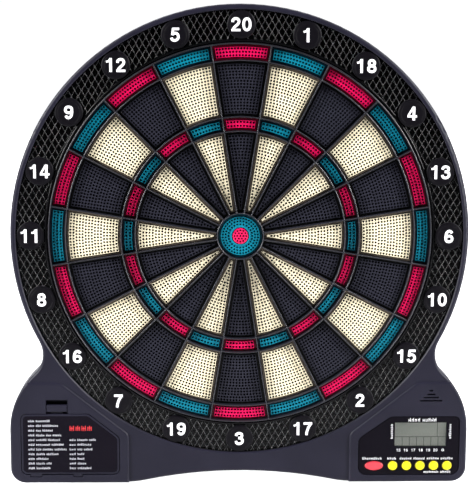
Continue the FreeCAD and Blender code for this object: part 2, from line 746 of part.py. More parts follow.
def make_battery_contacts():
    left, right = box_left + box_wall + touching, box_right - box_wall - touching
    shapes = []
    for k in (-1, 0, 1):
        z = cell_z + cell_pitch * k
        if k == 0:
            shapes += [flat_contact(left, z, 1), contact_spring(right, z, -1)]
        else:
            shapes += [contact_spring(left, z, 1), flat_contact(right, z, -1)]
    return Part.makeCompound(shapes)


# ---- inside wires --------------------------------------------------------------------------
def wire_tube(name, points):
    """Round tube along straight runs joined by tangent arcs, each as large as its runs allow."""
    places = [FreeCAD.Vector(*p) for p in points]
    edges = []
    radii = []
    last = places[0]
    for before, here, after in zip(places, places[1:], places[2:]):
        into, out = (here - before), (after - here)
        turn = into.getAngle(out)
        shorter = min(into.Length, out.Length)
        radius = arc_share * shorter / math.tan(turn / 2)
        radii.append(radius)
        back = arc_share * shorter
        start = here - FreeCAD.Vector(into).normalize() * back
        end = here + FreeCAD.Vector(out).normalize() * back
        inward = (FreeCAD.Vector(out).normalize() - FreeCAD.Vector(into).normalize()).normalize()
        middle = here + inward * (radius * (1 / math.cos(turn / 2) - 1))
        edges.append(Part.LineSegment(last, start).toShape())
        edges.append(Part.Arc(start, middle, end).toShape())
        last = end
    edges.append(Part.LineSegment(last, places[-1]).toShape())
    path = Part.Wire(edges)
    first_way = (places[1] - places[0]).normalize()
    section = Part.Wire(Part.makeCircle(wire_diameter / 2, places[0], first_way))
    tube = path.makePipeShell([section], True, False)
    expected = path.Length * math.pi * wire_diameter ** 2 / 4
    print(name, "length", round(path.Length, 1), "radii", [round(r, 1) for r in radii],
          "volume ratio", round(tube.Volume / expected, 4))
    return tube


def make_battery_leads():
    first = wire_tube("battery lead", battery_lead_route)
    second = wire_tube("battery lead", [(x, y, z + lead_spacing) for x, y, z in battery_lead_route])
    return Part.makeCompound([first, second])


def make_speaker_leads():
    tubes = [wire_tube("speaker lead", [(speaker_x + side + x, y, z) for x, y, z in speaker_lead_route])
             for side in speaker_lead_offsets]
    return Part.makeCompound(tubes)


# ---- all nodes -----------------------------------------------------------------------------
def all_nodes():
    nodes = {
        "front_housing": make_front_housing(),
        "rear_cover": make_rear_cover(),
        "housing_screws": make_housing_screws(),
        "catch_ring": make_catch_ring(),
        "spider": make_spider(),
        "outer_bull": make_outer_bull(),
        "inner_bull": make_inner_bull(),
        "rubber_mat": make_rubber_mat(),
        "sensor_matrix": make_sensor_matrix(),
        "matrix_connector": make_matrix_connector(),
        "backing_plate": make_backing_plate(),
        "plate_screws": make_plate_screws(),
        "control_panel": make_control_panel(),
        "lcd_window": make_lcd_window(),
        "lcd_glass": make_lcd_glass(),
        "zebra_strips": make_zebra_strips(),
        "main_pcb": make_main_pcb(),
        "pcb_screws": make_pcb_screws(),
        "controller_chip": make_controller_chip(),
        "tact_switches": make_tact_switches(),
        "next_button": make_oval_button(),
        "speaker": make_speaker(),
        "speaker_leads": make_speaker_leads(),
        "battery_door": make_battery_door(),
        "door_latch": make_door_latch(),
        "games_label": make_games_label(),
        "battery_box": make_battery_box(),
        "battery_cells": make_battery_cells(),
        "battery_contacts": make_battery_contacts(),
        "battery_leads": make_battery_leads(),
    }
    for name, x in zip(round_button_names, round_button_x):
        nodes[name] = make_round_button(x)
    for k, number in enumerate(dial_numbers):
        nodes["segments_%02d" % number] = make_sector(k)
    return nodes


os.makedirs("parts", exist_ok=True)
for node, shape in all_nodes().items():
    print(node, "valid", shape.isValid(), "solids", len(shape.Solids), "volume", round(shape.Volume))
    shape.exportStep("parts/%s.step" % node)
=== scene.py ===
import math
import random
import bpy
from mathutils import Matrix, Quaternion, Vector
from mathutils.geometry import delaunay_2d_cdt


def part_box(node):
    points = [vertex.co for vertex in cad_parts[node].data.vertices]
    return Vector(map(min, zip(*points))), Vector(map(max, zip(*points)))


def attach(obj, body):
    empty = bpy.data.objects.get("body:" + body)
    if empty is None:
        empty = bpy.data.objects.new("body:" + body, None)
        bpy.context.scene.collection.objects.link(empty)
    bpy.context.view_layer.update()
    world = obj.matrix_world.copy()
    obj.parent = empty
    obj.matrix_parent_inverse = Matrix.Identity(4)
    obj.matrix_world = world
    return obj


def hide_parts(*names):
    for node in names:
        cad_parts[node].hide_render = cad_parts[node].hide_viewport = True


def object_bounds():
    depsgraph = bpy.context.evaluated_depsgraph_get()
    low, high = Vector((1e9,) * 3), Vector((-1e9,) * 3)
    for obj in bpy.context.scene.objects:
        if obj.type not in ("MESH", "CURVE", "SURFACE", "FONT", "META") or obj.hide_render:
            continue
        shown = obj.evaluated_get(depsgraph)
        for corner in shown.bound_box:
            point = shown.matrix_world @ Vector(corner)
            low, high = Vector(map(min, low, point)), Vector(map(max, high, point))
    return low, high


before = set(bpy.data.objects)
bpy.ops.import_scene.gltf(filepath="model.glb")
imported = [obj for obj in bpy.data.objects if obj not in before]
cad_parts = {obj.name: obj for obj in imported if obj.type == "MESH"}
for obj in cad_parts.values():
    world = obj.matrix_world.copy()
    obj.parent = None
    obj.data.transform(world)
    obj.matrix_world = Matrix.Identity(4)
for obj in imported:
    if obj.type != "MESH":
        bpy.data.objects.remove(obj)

# Looks of the electronic dartboard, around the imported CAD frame. Lengths are in millimetres until a
# mesh is made, where MM turns them into metres. Depths are y values: the front has the smaller ones.
MM = 0.001
CAD_BOX = [[float(c) for c in corner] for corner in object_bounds()]


def node_box(node):
    """Lowest and highest corner of a CAD node in millimetres."""
    low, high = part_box(node)
    return [c / MM for c in low], [c / MM for c in high]


def new_object(name, data):
    """Object made and put in the scene."""
    thing = bpy.data.objects.new(name, data)
    bpy.context.scene.collection.objects.link(thing)
    return thing


# ---- sizes repeated from the CAD, and depths read from it -----------------------------------
SECTORS = 20
STEP = 360.0 / SECTORS
DIAL = (20, 1, 18, 4, 13, 6, 10, 15, 2, 17, 3, 19, 7, 16, 8, 11, 14, 9, 12, 5)
DOUBLE_OUTER, DOUBLE_INNER = 172.0, 157.0
TRIPLE_OUTER, TRIPLE_INNER = 107.3, 94.5
BULL_RING = 20.8
RIB_HALF = 0.6
BODY_GAP = 1.0
FLANGE_INSET = 0.25
SPIDER_FRONT = node_box("spider")[0][1]
SEGMENT_TOP = node_box("segments_20")[0][1]
SEGMENT_BACK = node_box("segments_20")[1][1]
SEGMENT_FLOOR = SEGMENT_TOP + 1.6
FLANGE_FRONT = SEGMENT_TOP + 3.0
PLATEAU_INSET = 2.95
HOLE_RADIUS = 1.06
HOLE_PITCH = 2.78
HOLE_FROM_EDGE, LONE_HOLE_CLEAR = 1.5, 0.25
HOLE_BOTTOM = SEGMENT_BACK - 0.6
DISC_RADIUS, DISC_CENTRE = 12.6, 188.4
CATCH_INNER, CATCH_OUTER = 173.0, 201.2
DISC_FRONT = node_box("catch_ring")[0][1]


# ---- camera ---------------------------------------------------------------------------------
CAMERA_AZIMUTH, CAMERA_ELEVATION, CAMERA_ROLL = -1.54, 8.9, 0.29
CAMERA_DISTANCE = 1.228
CAMERA_LENS = 100.43
CAMERA_SHIFT = (-0.0101, -0.0173)


def make_camera():
    """Camera a little above the board's centre, as far back as a small product photo is taken."""
    azimuth, elevation = math.radians(CAMERA_AZIMUTH), math.radians(CAMERA_ELEVATION)
    target = Vector((0.0, SPIDER_FRONT * MM, 0.0))
    way = Vector((math.sin(azimuth) * math.cos(elevation),
                  -math.cos(azimuth) * math.cos(elevation), math.sin(elevation)))
    data = bpy.data.cameras.new("camera")
    camera = new_object("camera", data)
    camera.location = target + way * CAMERA_DISTANCE
    roll = Quaternion((0.0, 0.0, 1.0), math.radians(CAMERA_ROLL))
    camera.rotation_euler = ((target - camera.location).to_track_quat("-Z", "Y") @ roll).to_euler()
    data.sensor_width = 36.0
    data.lens = CAMERA_LENS
    data.shift_x, data.shift_y = CAMERA_SHIFT
    bpy.context.scene.camera = camera


make_camera()


# ---- materials ------------------------------------------------------------------------------
def add_node(nodes, kind, **values):
    """Shader node with values for some of its sockets; their names have _ for each space."""
    node = nodes.new("ShaderNode" + kind)
    for socket, value in values.items():
        node.inputs[socket.replace("_", " ")].default_value = value
    return node


class Paint:
    """A node material under construction: object coordinates in metres go into every texture."""

    def __init__(self, name, color, roughness=0.5, metallic=0.0, coat=0.0, specular=0.5):
        self.material = bpy.data.materials.new(name)
        self.material.use_nodes = True
        self.nodes = self.material.node_tree.nodes
        self.links = self.material.node_tree.links
        self.shader = self.nodes["Principled BSDF"]
        for socket, value in (("Base Color", (*color, 1.0)), ("Roughness", roughness),
                              ("Metallic", metallic), ("Coat Weight", coat), ("Coat Roughness", 0.12),
                              ("Specular IOR Level", specular)):
            self.shader.inputs[socket].default_value = value
        self.coordinates = self.nodes.new("ShaderNodeTexCoord")

    def texture(self, kind, **values):
        node = add_node(self.nodes, kind, **values)
        self.links.new(self.coordinates.outputs["Object"], node.inputs["Vector"])
        return node.outputs["Fac"]

    def noise(self, scale, detail=2.0, roughness=0.5):
        return self.texture("TexNoise", Scale=scale, Detail=detail, Roughness=roughness)

    def wave(self, scale, distortion, low, high):
        """Bands that run 0 to 1 between two levels of a wave."""
        return self.ramp(self.texture("TexWave", Scale=scale, Distortion=distortion), low, high, 0.0, 1.0)

    def ramp(self, source, low, high, out_low, out_high):
        node = add_node(self.nodes, "MapRange", From_Min=low, From_Max=high, To_Min=out_low, To_Max=out_high)
        self.links.new(source, node.inputs["Value"])
        return node.outputs["Result"]

    def mix(self, factor, first, second):
        node = self.nodes.new("ShaderNodeMix")
        node.data_type = "RGBA"
        self.links.new(factor, node.inputs[0])
        for socket, value in ((node.inputs[6], first), (node.inputs[7], second)):
            if hasattr(value, "links"):
                self.links.new(value, socket)
            else:
                socket.default_value = (*value, 1.0)
        return node.outputs[2]

    def along(self, axis, first, last):
        """0 at the first place along an axis and 1 at the last, both in millimetres."""
        split = self.nodes.new("ShaderNodeSeparateXYZ")
        self.links.new(self.coordinates.outputs["Object"], split.inputs[0])
        return self.ramp(split.outputs[axis], first * MM, last * MM, 0.0, 1.0)

    def base(self, output):
        self.links.new(output, self.shader.inputs["Base Color"])
        return self

    def rough(self, output):
        self.links.new(output, self.shader.inputs["Roughness"])
        return self

    def bump(self, source, height_mm):
        node = add_node(self.nodes, "Bump", Strength=1.0, Distance=height_mm * MM)
        self.links.new(source, node.inputs["Height"])
        self.links.new(node.outputs["Normal"], self.shader.inputs["Normal"])
        return self


def grained_plastic(name, color, light, roughness, grain_mm, depth_mm, specular):
    """Moulded plastic with a spark-eroded grain, slightly uneven in colour and gloss."""
    paint = Paint(name, color, roughness, specular=specular)
    cloud = paint.ramp(paint.noise(28.0, 3.0), 0.35, 0.7, 0.0, 1.0)
    paint.base(paint.mix(cloud, color, light))
    grain = paint.noise(1.0 / (grain_mm * MM), 3.0, 0.6)
    paint.rough(paint.ramp(grain, 0.3, 0.7, roughness - 0.07, roughness + 0.07))
    return paint.bump(grain, depth_mm).material


def segment_plastic(name, top, low, dark, roughness, specular):
    """Segment plastic: its own colour on the raised top, with painted shade on the sunken border and painted
    shadow in the holes and gaps.
    """
    paint = Paint(name, top, roughness, specular=specular)
    cloud = paint.ramp(paint.noise(60.0), 0.3, 0.7, 0.0, 1.0)
    top_tone = paint.mix(cloud, top, tuple(c * 0.86 for c in top))
    # low is painted shade: the sunken border beside the ribs turns to it with depth.
    top_with_shaded_border = paint.mix(paint.along("Y", SEGMENT_TOP + 0.15, SEGMENT_FLOOR - 0.35), top_tone, low)
    # dark is painted shadow: further back, the holes and the gaps beside the ribs turn to it.
    paint.base(paint.mix(paint.along("Y", SEGMENT_FLOOR + 0.1, SEGMENT_FLOOR + 1.2), top_with_shaded_border, dark))
    paint.rough(paint.ramp(paint.noise(400.0), 0.3, 0.7, roughness - 0.08, roughness + 0.08))
    return paint.bump(paint.noise(2600.0), 0.012).material


def button_plastic(name, top, low, node):
    """Button plastic: its colour on the face, with painted shade towards the edge that dips into the panel.
    """
    paint = Paint(name, top, 0.35, specular=0.3)
    front = node_box(node)[0][1]
    # low is painted shade at the rim, where the cap curves down into the panel.
    paint.base(paint.mix(paint.along("Y", front + 0.1, front + 0.7), top, low))
    return paint.bump(paint.noise(3000.0), 0.01).material


# Grained plastics: object's name, colour, lighter colour, roughness, grain and depth of the bumps in
# millimetres, specular level.
GRAINED = {
    "housing": ("housing_plastic", (0.0078, 0.0074, 0.0145), (0.0104, 0.0098, 0.0185), 0.42, 0.45, 0.02,
                0.13),
    "catch": ("catch_ring_plastic", (0.0009, 0.0009, 0.0012), (0.0013, 0.0012, 0.0018), 0.2, 0.6, 0.004,
              0.12),
    # The lattice is the catch ring's own black plastic, painted lighter as painted light on its bar tops.
    "lattice": ("lattice_plastic", (0.0045, 0.0045, 0.006), (0.006, 0.006, 0.008), 0.26, 0.6, 0.002, 0.5),
    "disc": ("number_disc_plastic", (0.0022, 0.0018, 0.003), (0.003, 0.0026, 0.004), 0.42, 0.35, 0.015, 0.08),
    "spider": ("spider_plastic", (0.0085, 0.0085, 0.0125), (0.011, 0.011, 0.016), 0.34, 0.6, 0.003, 0.5),
    "mat": ("mat_rubber", (0.004, 0.004, 0.004), (0.006, 0.006, 0.006), 0.8, 0.5, 0.03, 0.5),
    "panel": ("panel_insert_plastic", (0.0022, 0.0016, 0.0036), (0.0028, 0.0022, 0.0044), 0.4, 0.3, 0.006,
              0.05),
    "label": ("label_film", (0.003, 0.0022, 0.0048), (0.0038, 0.0029, 0.0058), 0.36, 0.3, 0.004, 0.05),
    "white_ink": ("white_ink", (0.86, 0.86, 0.88), (0.8, 0.8, 0.83), 0.5, 0.3, 0.004, 0.5),
    "grey_ink": ("grey_ink", (0.62, 0.62, 0.68), (0.52, 0.52, 0.58), 0.5, 0.3, 0.004, 0.5),
    "red_ink": ("red_ink", (0.5, 0.012, 0.018), (0.42, 0.01, 0.014), 0.5, 0.3, 0.004, 0.5),
    "lcd": ("lcd_film", (0.17, 0.175, 0.16), (0.19, 0.195, 0.18), 0.45, 0.5, 0.002, 0.2),
    "lcd_line": ("lcd_mark", (0.008, 0.009, 0.008), (0.01, 0.011, 0.01), 0.5, 0.5, 0.002, 0.5),
    "inner": ("inner_plastic", (0.02, 0.02, 0.022), (0.026, 0.026, 0.028), 0.55, 0.5, 0.015, 0.5),
    "resin": ("chip_resin", (0.006, 0.006, 0.006), (0.01, 0.01, 0.01), 0.3, 1.5, 0.05, 0.5),
    "wire": ("wire_sleeve", (0.32, 0.01, 0.01), (0.36, 0.015, 0.012), 0.4, 0.4, 0.004, 0.5),
}
# Segment plastics: name, colour of the top, painted shade of the border, painted shadow of the holes' depth,
# roughness, specular level.
# The dark teal and dark red colours are painted shadow for the holes, not the plastics' own colour.
TEAL, TEAL_HOLE_SHADOW = (0.002, 0.16, 0.235), (0.0003, 0.0014, 0.0024)
RED_HOLE_SHADOW = (0.004, 0.0003, 0.0008)
SEGMENT = {
    "black": ("black_segment_plastic", (0.0165, 0.0165, 0.025), (0.0009, 0.0011, 0.0014),
              (0.0002, 0.0002, 0.0003), 0.4, 0.1),
    "cream": ("cream_segment_plastic", (0.78, 0.70, 0.50), (0.12, 0.095, 0.072), (0.004, 0.003, 0.002), 0.45,
              0.2),
    "red": ("red_segment_plastic", (0.60, 0.003, 0.075), (0.10, 0.001, 0.012), RED_HOLE_SHADOW, 0.42, 0.12),
    "teal": ("teal_segment_plastic", TEAL, (0.001, 0.013, 0.024), TEAL_HOLE_SHADOW, 0.42, 0.12),
    "bull_teal": ("outer_bull_plastic", TEAL, (0.001, 0.04, 0.062), TEAL_HOLE_SHADOW, 0.42, 0.12),
    "bull_red": ("inner_bull_plastic", (0.60, 0.004, 0.075), (0.20, 0.001, 0.02), RED_HOLE_SHADOW, 0.3, 0.5),
}


def make_materials():
    """Every material of the object, by the short name that the pieces use."""
    m = {key: grained_plastic(*values) for key, values in GRAINED.items()}
    m.update((key, segment_plastic(*values)) for key, values in SEGMENT.items())
    # Each button's second colour is the painted shade at its edge.
    m["yellow"] = button_plastic("yellow_button_plastic", (0.66, 0.60, 0.003), (0.16, 0.12, 0.002),
                                 "game_button")
    m["red_button"] = button_plastic("red_button_plastic", (0.55, 0.035, 0.05), (0.12, 0.006, 0.01),
                                     "next_button")
    m["steel"] = brushed_metal()
    m["board"] = circuit_board()
    m["film"] = printed_film()
    m["cell"] = cell_sleeve()
    m["window"] = clear_window()
    return m


def brushed_metal():
    """Plated steel with fine streaks."""
    paint = Paint("plated_steel", (0.55, 0.55, 0.57), 0.32, metallic=1.0)
    streak = paint.noise(900.0, 4.0, 0.7)
    paint.rough(paint.ramp(streak, 0.3, 0.7, 0.24, 0.42))
    paint.base(paint.mix(streak, (0.5, 0.5, 0.52), (0.62, 0.62, 0.63)))
    return paint.bump(streak, 0.01).material


def circuit_board():
    """Solder mask with copper tracks that show through as lighter bands."""
    paint = Paint("circuit_board", (0.01, 0.12, 0.035), 0.3, coat=0.4)
    tracks = paint.wave(160.0, 3.0, 0.62, 0.68)
    paint.base(paint.mix(tracks, (0.008, 0.09, 0.028), (0.02, 0.2, 0.06)))
    return paint.bump(tracks, 0.03).material


def printed_film():
    """Milky film with carbon tracks."""
    paint = Paint("sensor_film", (0.6, 0.63, 0.66), 0.3)
    tracks = paint.wave(90.0, 0.0, 0.7, 0.75)
    paint.base(paint.mix(tracks, (0.6, 0.63, 0.66), (0.05, 0.05, 0.05)))
    return paint.bump(tracks, 0.01).material


def cell_sleeve():
    """Printed sleeve of a battery cell, dark with a lighter end."""
    paint = Paint("cell_sleeve", (0.12, 0.13, 0.15), 0.25, coat=0.5)
    band = paint.along("X", -148.5, -148.0)
    paint.base(paint.mix(band, (0.12, 0.13, 0.15), (0.35, 0.3, 0.12)))
    return paint.bump(paint.noise(500.0), 0.005).material


def clear_window():
    """Thin clear plastic, barely refracting."""
    paint = Paint("clear_window", (0.95, 0.97, 0.95), 0.06)
    paint.shader.inputs["Transmission Weight"].default_value = 1.0
    paint.shader.inputs["IOR"].default_value = 1.1
    return paint.bump(paint.noise(40.0), 0.002).material


MATERIALS = make_materials()


# ---- mesh building --------------------------------------------------------------------------
class Shape:
    """Vertices in millimetres and faces with a material index, gathered for one object."""

    def __init__(self):
        self.points = []
        self.faces = []
        self.slots = []

    def add(self, points):
        start = len(self.points)
        self.points.extend(points)
        return list(range(start, len(self.points)))

    def rings(self, profile, count, x=0.0, z=0.0):
        """Points of one circle for each (radius, depth) of a profile."""
        return [self.add(at_depth(circle_loop(radius, count, x, z), y)) for radius, y in profile]

    def face(self, corners, slot=0):
        self.faces.append(tuple(corners))
        self.slots.append(slot)

    def bridge(self, first, second):
        """Quads between two closed loops of the same length."""
        count = len(first)
        for i in range(count):
            j = (i + 1) % count
            self.face((first[i], first[j], second[j], second[i]))

    def skin(self, loops, inward=False):
        """Quads between each loop and the next; inward turns them over, for the wall of a hole."""
        for first, second in zip(loops, loops[1:]):
            if inward:
                first, second = second, first
            self.bridge(first, second)

    def stack(self, loops):
        """Closed stack of loops from back to front: its wall, its front and its back."""
        self.skin(loops, inward=True)
        self.face(loops[-1])
        self.face(loops[0][::-1])

    def to_object(self, name, materials, smooth_angle=None):
        mesh = bpy.data.meshes.new(name)
        mesh.from_pydata([(x * MM, y * MM, z * MM) for x, y, z in self.points], [], self.faces)
        for material in materials:
            mesh.materials.append(MATERIALS[material])
        mesh.polygons.foreach_set("material_index", self.slots)
        mesh.update()
        thing = new_object(name, mesh)
        if smooth_angle is not None:
            mesh.polygons.foreach_set("use_smooth", [True] * len(mesh.polygons))
            mesh.set_sharp_from_angle(angle=math.radians(smooth_angle))
        return thing


def finish_piece(thing, body, slot, *nodes):
    """Ties a piece to its body, in place of the CAD nodes that it covers. slot is not used."""
    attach(thing, body)
    if nodes:
        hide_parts(*nodes)


def polar(radius, angle):
    """Point at an angle clockwise from the top, as (x, z)."""
    a = math.radians(angle)
    return radius * math.sin(a), radius * math.cos(a)


def at_depth(loop, y):
    return [(x, y, z) for x, z in loop]


def circle_loop(radius, count, x=0.0, z=0.0):
    """Circle, clockwise seen from the front."""
    loop = (polar(radius, 360.0 * i / count) for i in range(count))
    return [(x + a, z + b) for a, b in loop]


ARC_PARTS = 12
HOLE_SIDES = 8
INSIDE = 0.99996  # share of a radius that leaves out the slivers under an arc's chords


def cell_loop(inner, outer, gap):
    """Outline of a sector cell about the top, clockwise seen from the front; gap is the distance
    from the centrelines of the two radial ribs."""
    half = STEP / 2

    def side_angle(radius):
        return half - math.degrees(math.asin(min(0.999, gap / radius)))

    outer_half, inner_half = side_angle(outer), side_angle(inner)
    top = [polar(outer, -outer_half + 2 * outer_half * i / ARC_PARTS) for i in range(ARC_PARTS + 1)]
    bottom = [polar(inner, inner_half - 2 * inner_half * i / ARC_PARTS) for i in range(ARC_PARTS + 1)]
    return top + bottom


def triangulate(outline, holes, drop):
    """Delaunay triangles of a flat outline with holes, without those that drop(x, z, owners) rejects;
    owners are the numbers of the holes that a triangle's corners belong to, 0 for the outline."""
    points, edges, owner = [], [], []
    for number, loop in enumerate([outline] + holes):
        start = len(points)
        points.extend(loop)
        edges.extend((start + i, start + (i + 1) % len(loop)) for i in range(len(loop)))
        owner.extend([number] * len(loop))
    result = delaunay_2d_cdt([Vector(p) for p in points], edges, [], 0, 1e-5)
    origin = {}
    for new, olds in enumerate(result[3]):
        for old in olds:
            origin.setdefault(new, old)
    triangles = []
    for triangle in result[2]:
        ids = [origin[i] for i in triangle]
        (ax, az), (bx, bz), (cx, cz) = (points[i] for i in ids)
        if drop((ax + bx + cx) / 3, (az + bz + cz) / 3, {owner[i] for i in ids}):
            continue
        clockwise = (bx - ax) * (cz - az) - (bz - az) * (cx - ax) < 0
        triangles.append(ids if clockwise else ids[::-1])
    return triangles


# ---- scoring segments -----------------------------------------------------------------------
def perforate(shape, ids, outline, openings, centres, radius, inner_radius):
    """Flat top with dart holes down to their floors, which take the second material. ids are the
    points of the outline and of the openings, in that order. The top ends at the inner radius."""
    holes = [circle_loop(radius, HOLE_SIDES, x, z) for x, z in centres]
    rims = [shape.add(at_depth(hole, shape.points[ids[0]][1])) for hole in holes]
    where = ids + sum(rims, [])

    def is_open(x, z, owners):
        return (len(owners) == 1 and 0 not in owners) or math.hypot(x, z) < inner_radius

    for corners in triangulate(outline, openings + holes, is_open):
        shape.face([where[i] for i in corners])
    for rim, hole in zip(rims, holes):
        bottom = shape.add(at_depth(hole, HOLE_BOTTOM))
        shape.bridge(rim, bottom)
        for i in range(HOLE_SIDES // 2 - 1):
            floor = (bottom[i], bottom[i + 1], bottom[HOLE_SIDES - 2 - i], bottom[HOLE_SIDES - 1 - i])
            shape.face(floor, 1)


def hole_rows(inner, outer):
    """Centres of the dart holes of one segment about the top: arcs of evenly spread holes, and single
    holes where the segment narrows to its point."""
    low, high = inner + PLATEAU_INSET, outer - PLATEAU_INSET
    rows = max(1, round((high - low) / HOLE_PITCH))
    centres = []
    for row in range(rows):
        radius = low + (high - low) * (row + 0.5) / rows
        half = math.radians(STEP / 2) - math.asin((PLATEAU_INSET + HOLE_FROM_EDGE) / radius)
        if half <= 0:
            if radius * math.sin(math.radians(STEP / 2)) > PLATEAU_INSET + HOLE_RADIUS + LONE_HOLE_CLEAR:
                centres.append(polar(radius, 0.0))
            continue
        count = int(2 * half * radius / HOLE_PITCH + 0.3) + 1
        for i in range(count):
            share = 0.5 if count == 1 else i / (count - 1)
            centres.append(polar(radius, math.degrees(-half + 2 * half * share)))
    return centres


def segment_template(inner, outer, outermost=False):
    """One segment about the top, as points, faces and face slots."""
    shape = Shape()
    flange_outer = outer - BODY_GAP if outermost else outer - FLANGE_INSET
    profile = (  # distance from the rib centreline, depth
        (PLATEAU_INSET + 0.18, SEGMENT_TOP), (PLATEAU_INSET + 0.04, SEGMENT_TOP + 0.06),
        (PLATEAU_INSET - 0.02, SEGMENT_TOP + 0.22), (PLATEAU_INSET - 0.12, SEGMENT_FLOOR),
        (BODY_GAP + 0.15, SEGMENT_FLOOR), (BODY_GAP, SEGMENT_FLOOR + 0.15),
        (BODY_GAP, FLANGE_FRONT),
    )
    loops = [shape.add(at_depth(cell_loop(inner + g, outer - g, g), y)) for g, y in profile]
    flange = cell_loop(inner + FLANGE_INSET, flange_outer, FLANGE_INSET)
    loops.append(shape.add(at_depth(flange, FLANGE_FRONT)))
    loops.append(shape.add(at_depth(flange, SEGMENT_BACK)))
    shape.skin(loops)
    back = loops[-1]
    side = ARC_PARTS + 1
    for i in range(ARC_PARTS):
        shape.face((back[i], back[i + 1], back[2 * side - 2 - i], back[2 * side - 1 - i]))

    top_gap = profile[0][0]
    outline = cell_loop(inner + top_gap, outer - top_gap, top_gap)
    perforate(shape, loops[0], outline, [], hole_rows(inner, outer), HOLE_RADIUS,
              (inner + top_gap) * INSIDE)
    return shape


def turned(points, angle):
    """(x, z) points turned clockwise about the bull's axis."""
    a = math.radians(angle)
    c, s = math.cos(a), math.sin(a)
    return [(x * c + z * s, z * c - x * s) for x, z in points]


def turned_copy(target, template, angle):
    """Adds a template to a shape, turned clockwise about the bull's axis."""
    start = len(target.points)
    places = turned([(x, z) for x, _, z in template.points], angle)
    target.add([(x, y, z) for (x, z), (_, y, _) in zip(places, template.points)])
    for face, slot in zip(template.faces, template.slots):
        target.face([i + start for i in face], slot)


KINDS = (("singles", ("outer", "inner")), ("bonus", ("double", "triple")))


def make_segments():
    """Two pieces for each number: its two singles, and its double with its triple."""
    templates = {
        "double": segment_template(DOUBLE_INNER, DOUBLE_OUTER, outermost=True),
        "outer": segment_template(TRIPLE_OUTER, DOUBLE_INNER),
        "triple": segment_template(TRIPLE_INNER, TRIPLE_OUTER),
        "inner": segment_template(BULL_RING, TRIPLE_INNER),
    }
    for k, number in enumerate(DIAL):
        paints = ("black", "red") if k % 2 == 0 else ("cream", "teal")
        for (kind, names), paint in zip(KINDS, paints):
            shape = Shape()
            for name in names:
                turned_copy(shape, templates[name], STEP * k)
            piece = shape.to_object("%s_%02d" % (kind, number), [paint, "mat"])
            finish_piece(piece, "sector_%02d" % number, paint + "_plastic", "segments_%02d" % number)


make_segments()


# ---- bull -----------------------------------------------------------------------------------
def ring_of_holes(radius, count, shift=0.0):
    return [polar(radius, 360.0 * (i + shift) / count) for i in range(count)]


def perforated_disc(profile, centres, bore_radius, hole_radius, sides=64, rim_profile=()):
    """Round piece with dart holes. profile runs from the edge of the perforated top outwards and
    back as (radius, depth); rim_profile does the same inwards, for a piece with a bore."""
    shape = Shape()
    loops = shape.rings(profile, sides)
    shape.skin(loops)
    where, openings = loops[0], []
    if rim_profile:
        inner = shape.rings(rim_profile, sides)
        shape.skin(inner, inward=True)
        shape.bridge(loops[-1], inner[-1])
        where, openings = where + inner[0], [circle_loop(rim_profile[0][0], sides)]
    else:
        shape.face(loops[-1][::-1])
    perforate(shape, where, circle_loop(profile[0][0], sides), openings, centres, hole_radius, bore_radius)
    return shape


COLLAR_INNER, COLLAR_OUTER = 7.9, 8.8
RELIEF_RADIUS, RELIEF_FRONT = 12.0, -20.2
CENTRE_RADIUS, CENTRE_FLANGE, CENTRE_FLANGE_FRONT = 7.4, 8.8, -19.0
OUTER_BULL_ROWS = ((10.7, 24), (13.3, 30), (15.9, 38))
OUTER_BULL_HOLE, CENTRE_HOLE = 0.95, 0.9


def make_bull():
    """The outer bull with its raised collar, and the domed centre inside it."""
    edge = BULL_RING - BODY_GAP
    flange_edge = BULL_RING - FLANGE_INSET
    collar_front = node_box("outer_bull")[0][1]
    outer_profile = ((17.5, SEGMENT_TOP), (17.62, SEGMENT_TOP + 0.1), (17.8, SEGMENT_FLOOR),
                     (edge - 0.15, SEGMENT_FLOOR), (edge, SEGMENT_FLOOR + 0.15), (edge, FLANGE_FRONT),
                     (flange_edge, FLANGE_FRONT), (flange_edge, SEGMENT_BACK),
                     (RELIEF_RADIUS, SEGMENT_BACK), (RELIEF_RADIUS, RELIEF_FRONT))
    inner_profile = ((9.1, SEGMENT_TOP), (COLLAR_OUTER, SEGMENT_TOP - 0.25),
                     (COLLAR_OUTER - 0.12, collar_front + 0.08), (COLLAR_OUTER - 0.3, collar_front),
                     (COLLAR_INNER + 0.3, collar_front), (COLLAR_INNER + 0.05, collar_front + 0.15),
                     (COLLAR_INNER, collar_front + 0.4), (COLLAR_INNER, RELIEF_FRONT))
    centres = [centre for radius, count in OUTER_BULL_ROWS for centre in ring_of_holes(radius, count)]
    shape = perforated_disc(outer_profile, centres, 9.05, OUTER_BULL_HOLE, rim_profile=inner_profile)
    thing = shape.to_object("bull_outer_ring", ["bull_teal", "mat"], 40)
    finish_piece(thing, "outer_bull", "teal_plastic", "outer_bull")

    front = node_box("inner_bull")[0][1]
    profile = ((6.5, front), (6.95, front + 0.12), (7.3, front + 0.45), (CENTRE_RADIUS, front + 0.9),
               (CENTRE_RADIUS, CENTRE_FLANGE_FRONT), (CENTRE_FLANGE, CENTRE_FLANGE_FRONT),
               (CENTRE_FLANGE, SEGMENT_BACK))
    centres = [(0.0, 0.0)] + ring_of_holes(2.75, 6, 0.5) + ring_of_holes(5.2, 12)
    shape = perforated_disc(profile, centres, 0.0, CENTRE_HOLE, sides=48)
    thing = shape.to_object("bull_centre", ["bull_red", "mat"], 40)
    finish_piece(thing, "inner_bull", "red_plastic", "inner_bull")


make_bull()


# ---- spider ---------------------------------------------------------------------------------
RINGS = ((DOUBLE_INNER, DOUBLE_OUTER), (TRIPLE_OUTER, DOUBLE_INNER),
         (TRIPLE_INNER, TRIPLE_OUTER), (BULL_RING, TRIPLE_INNER))
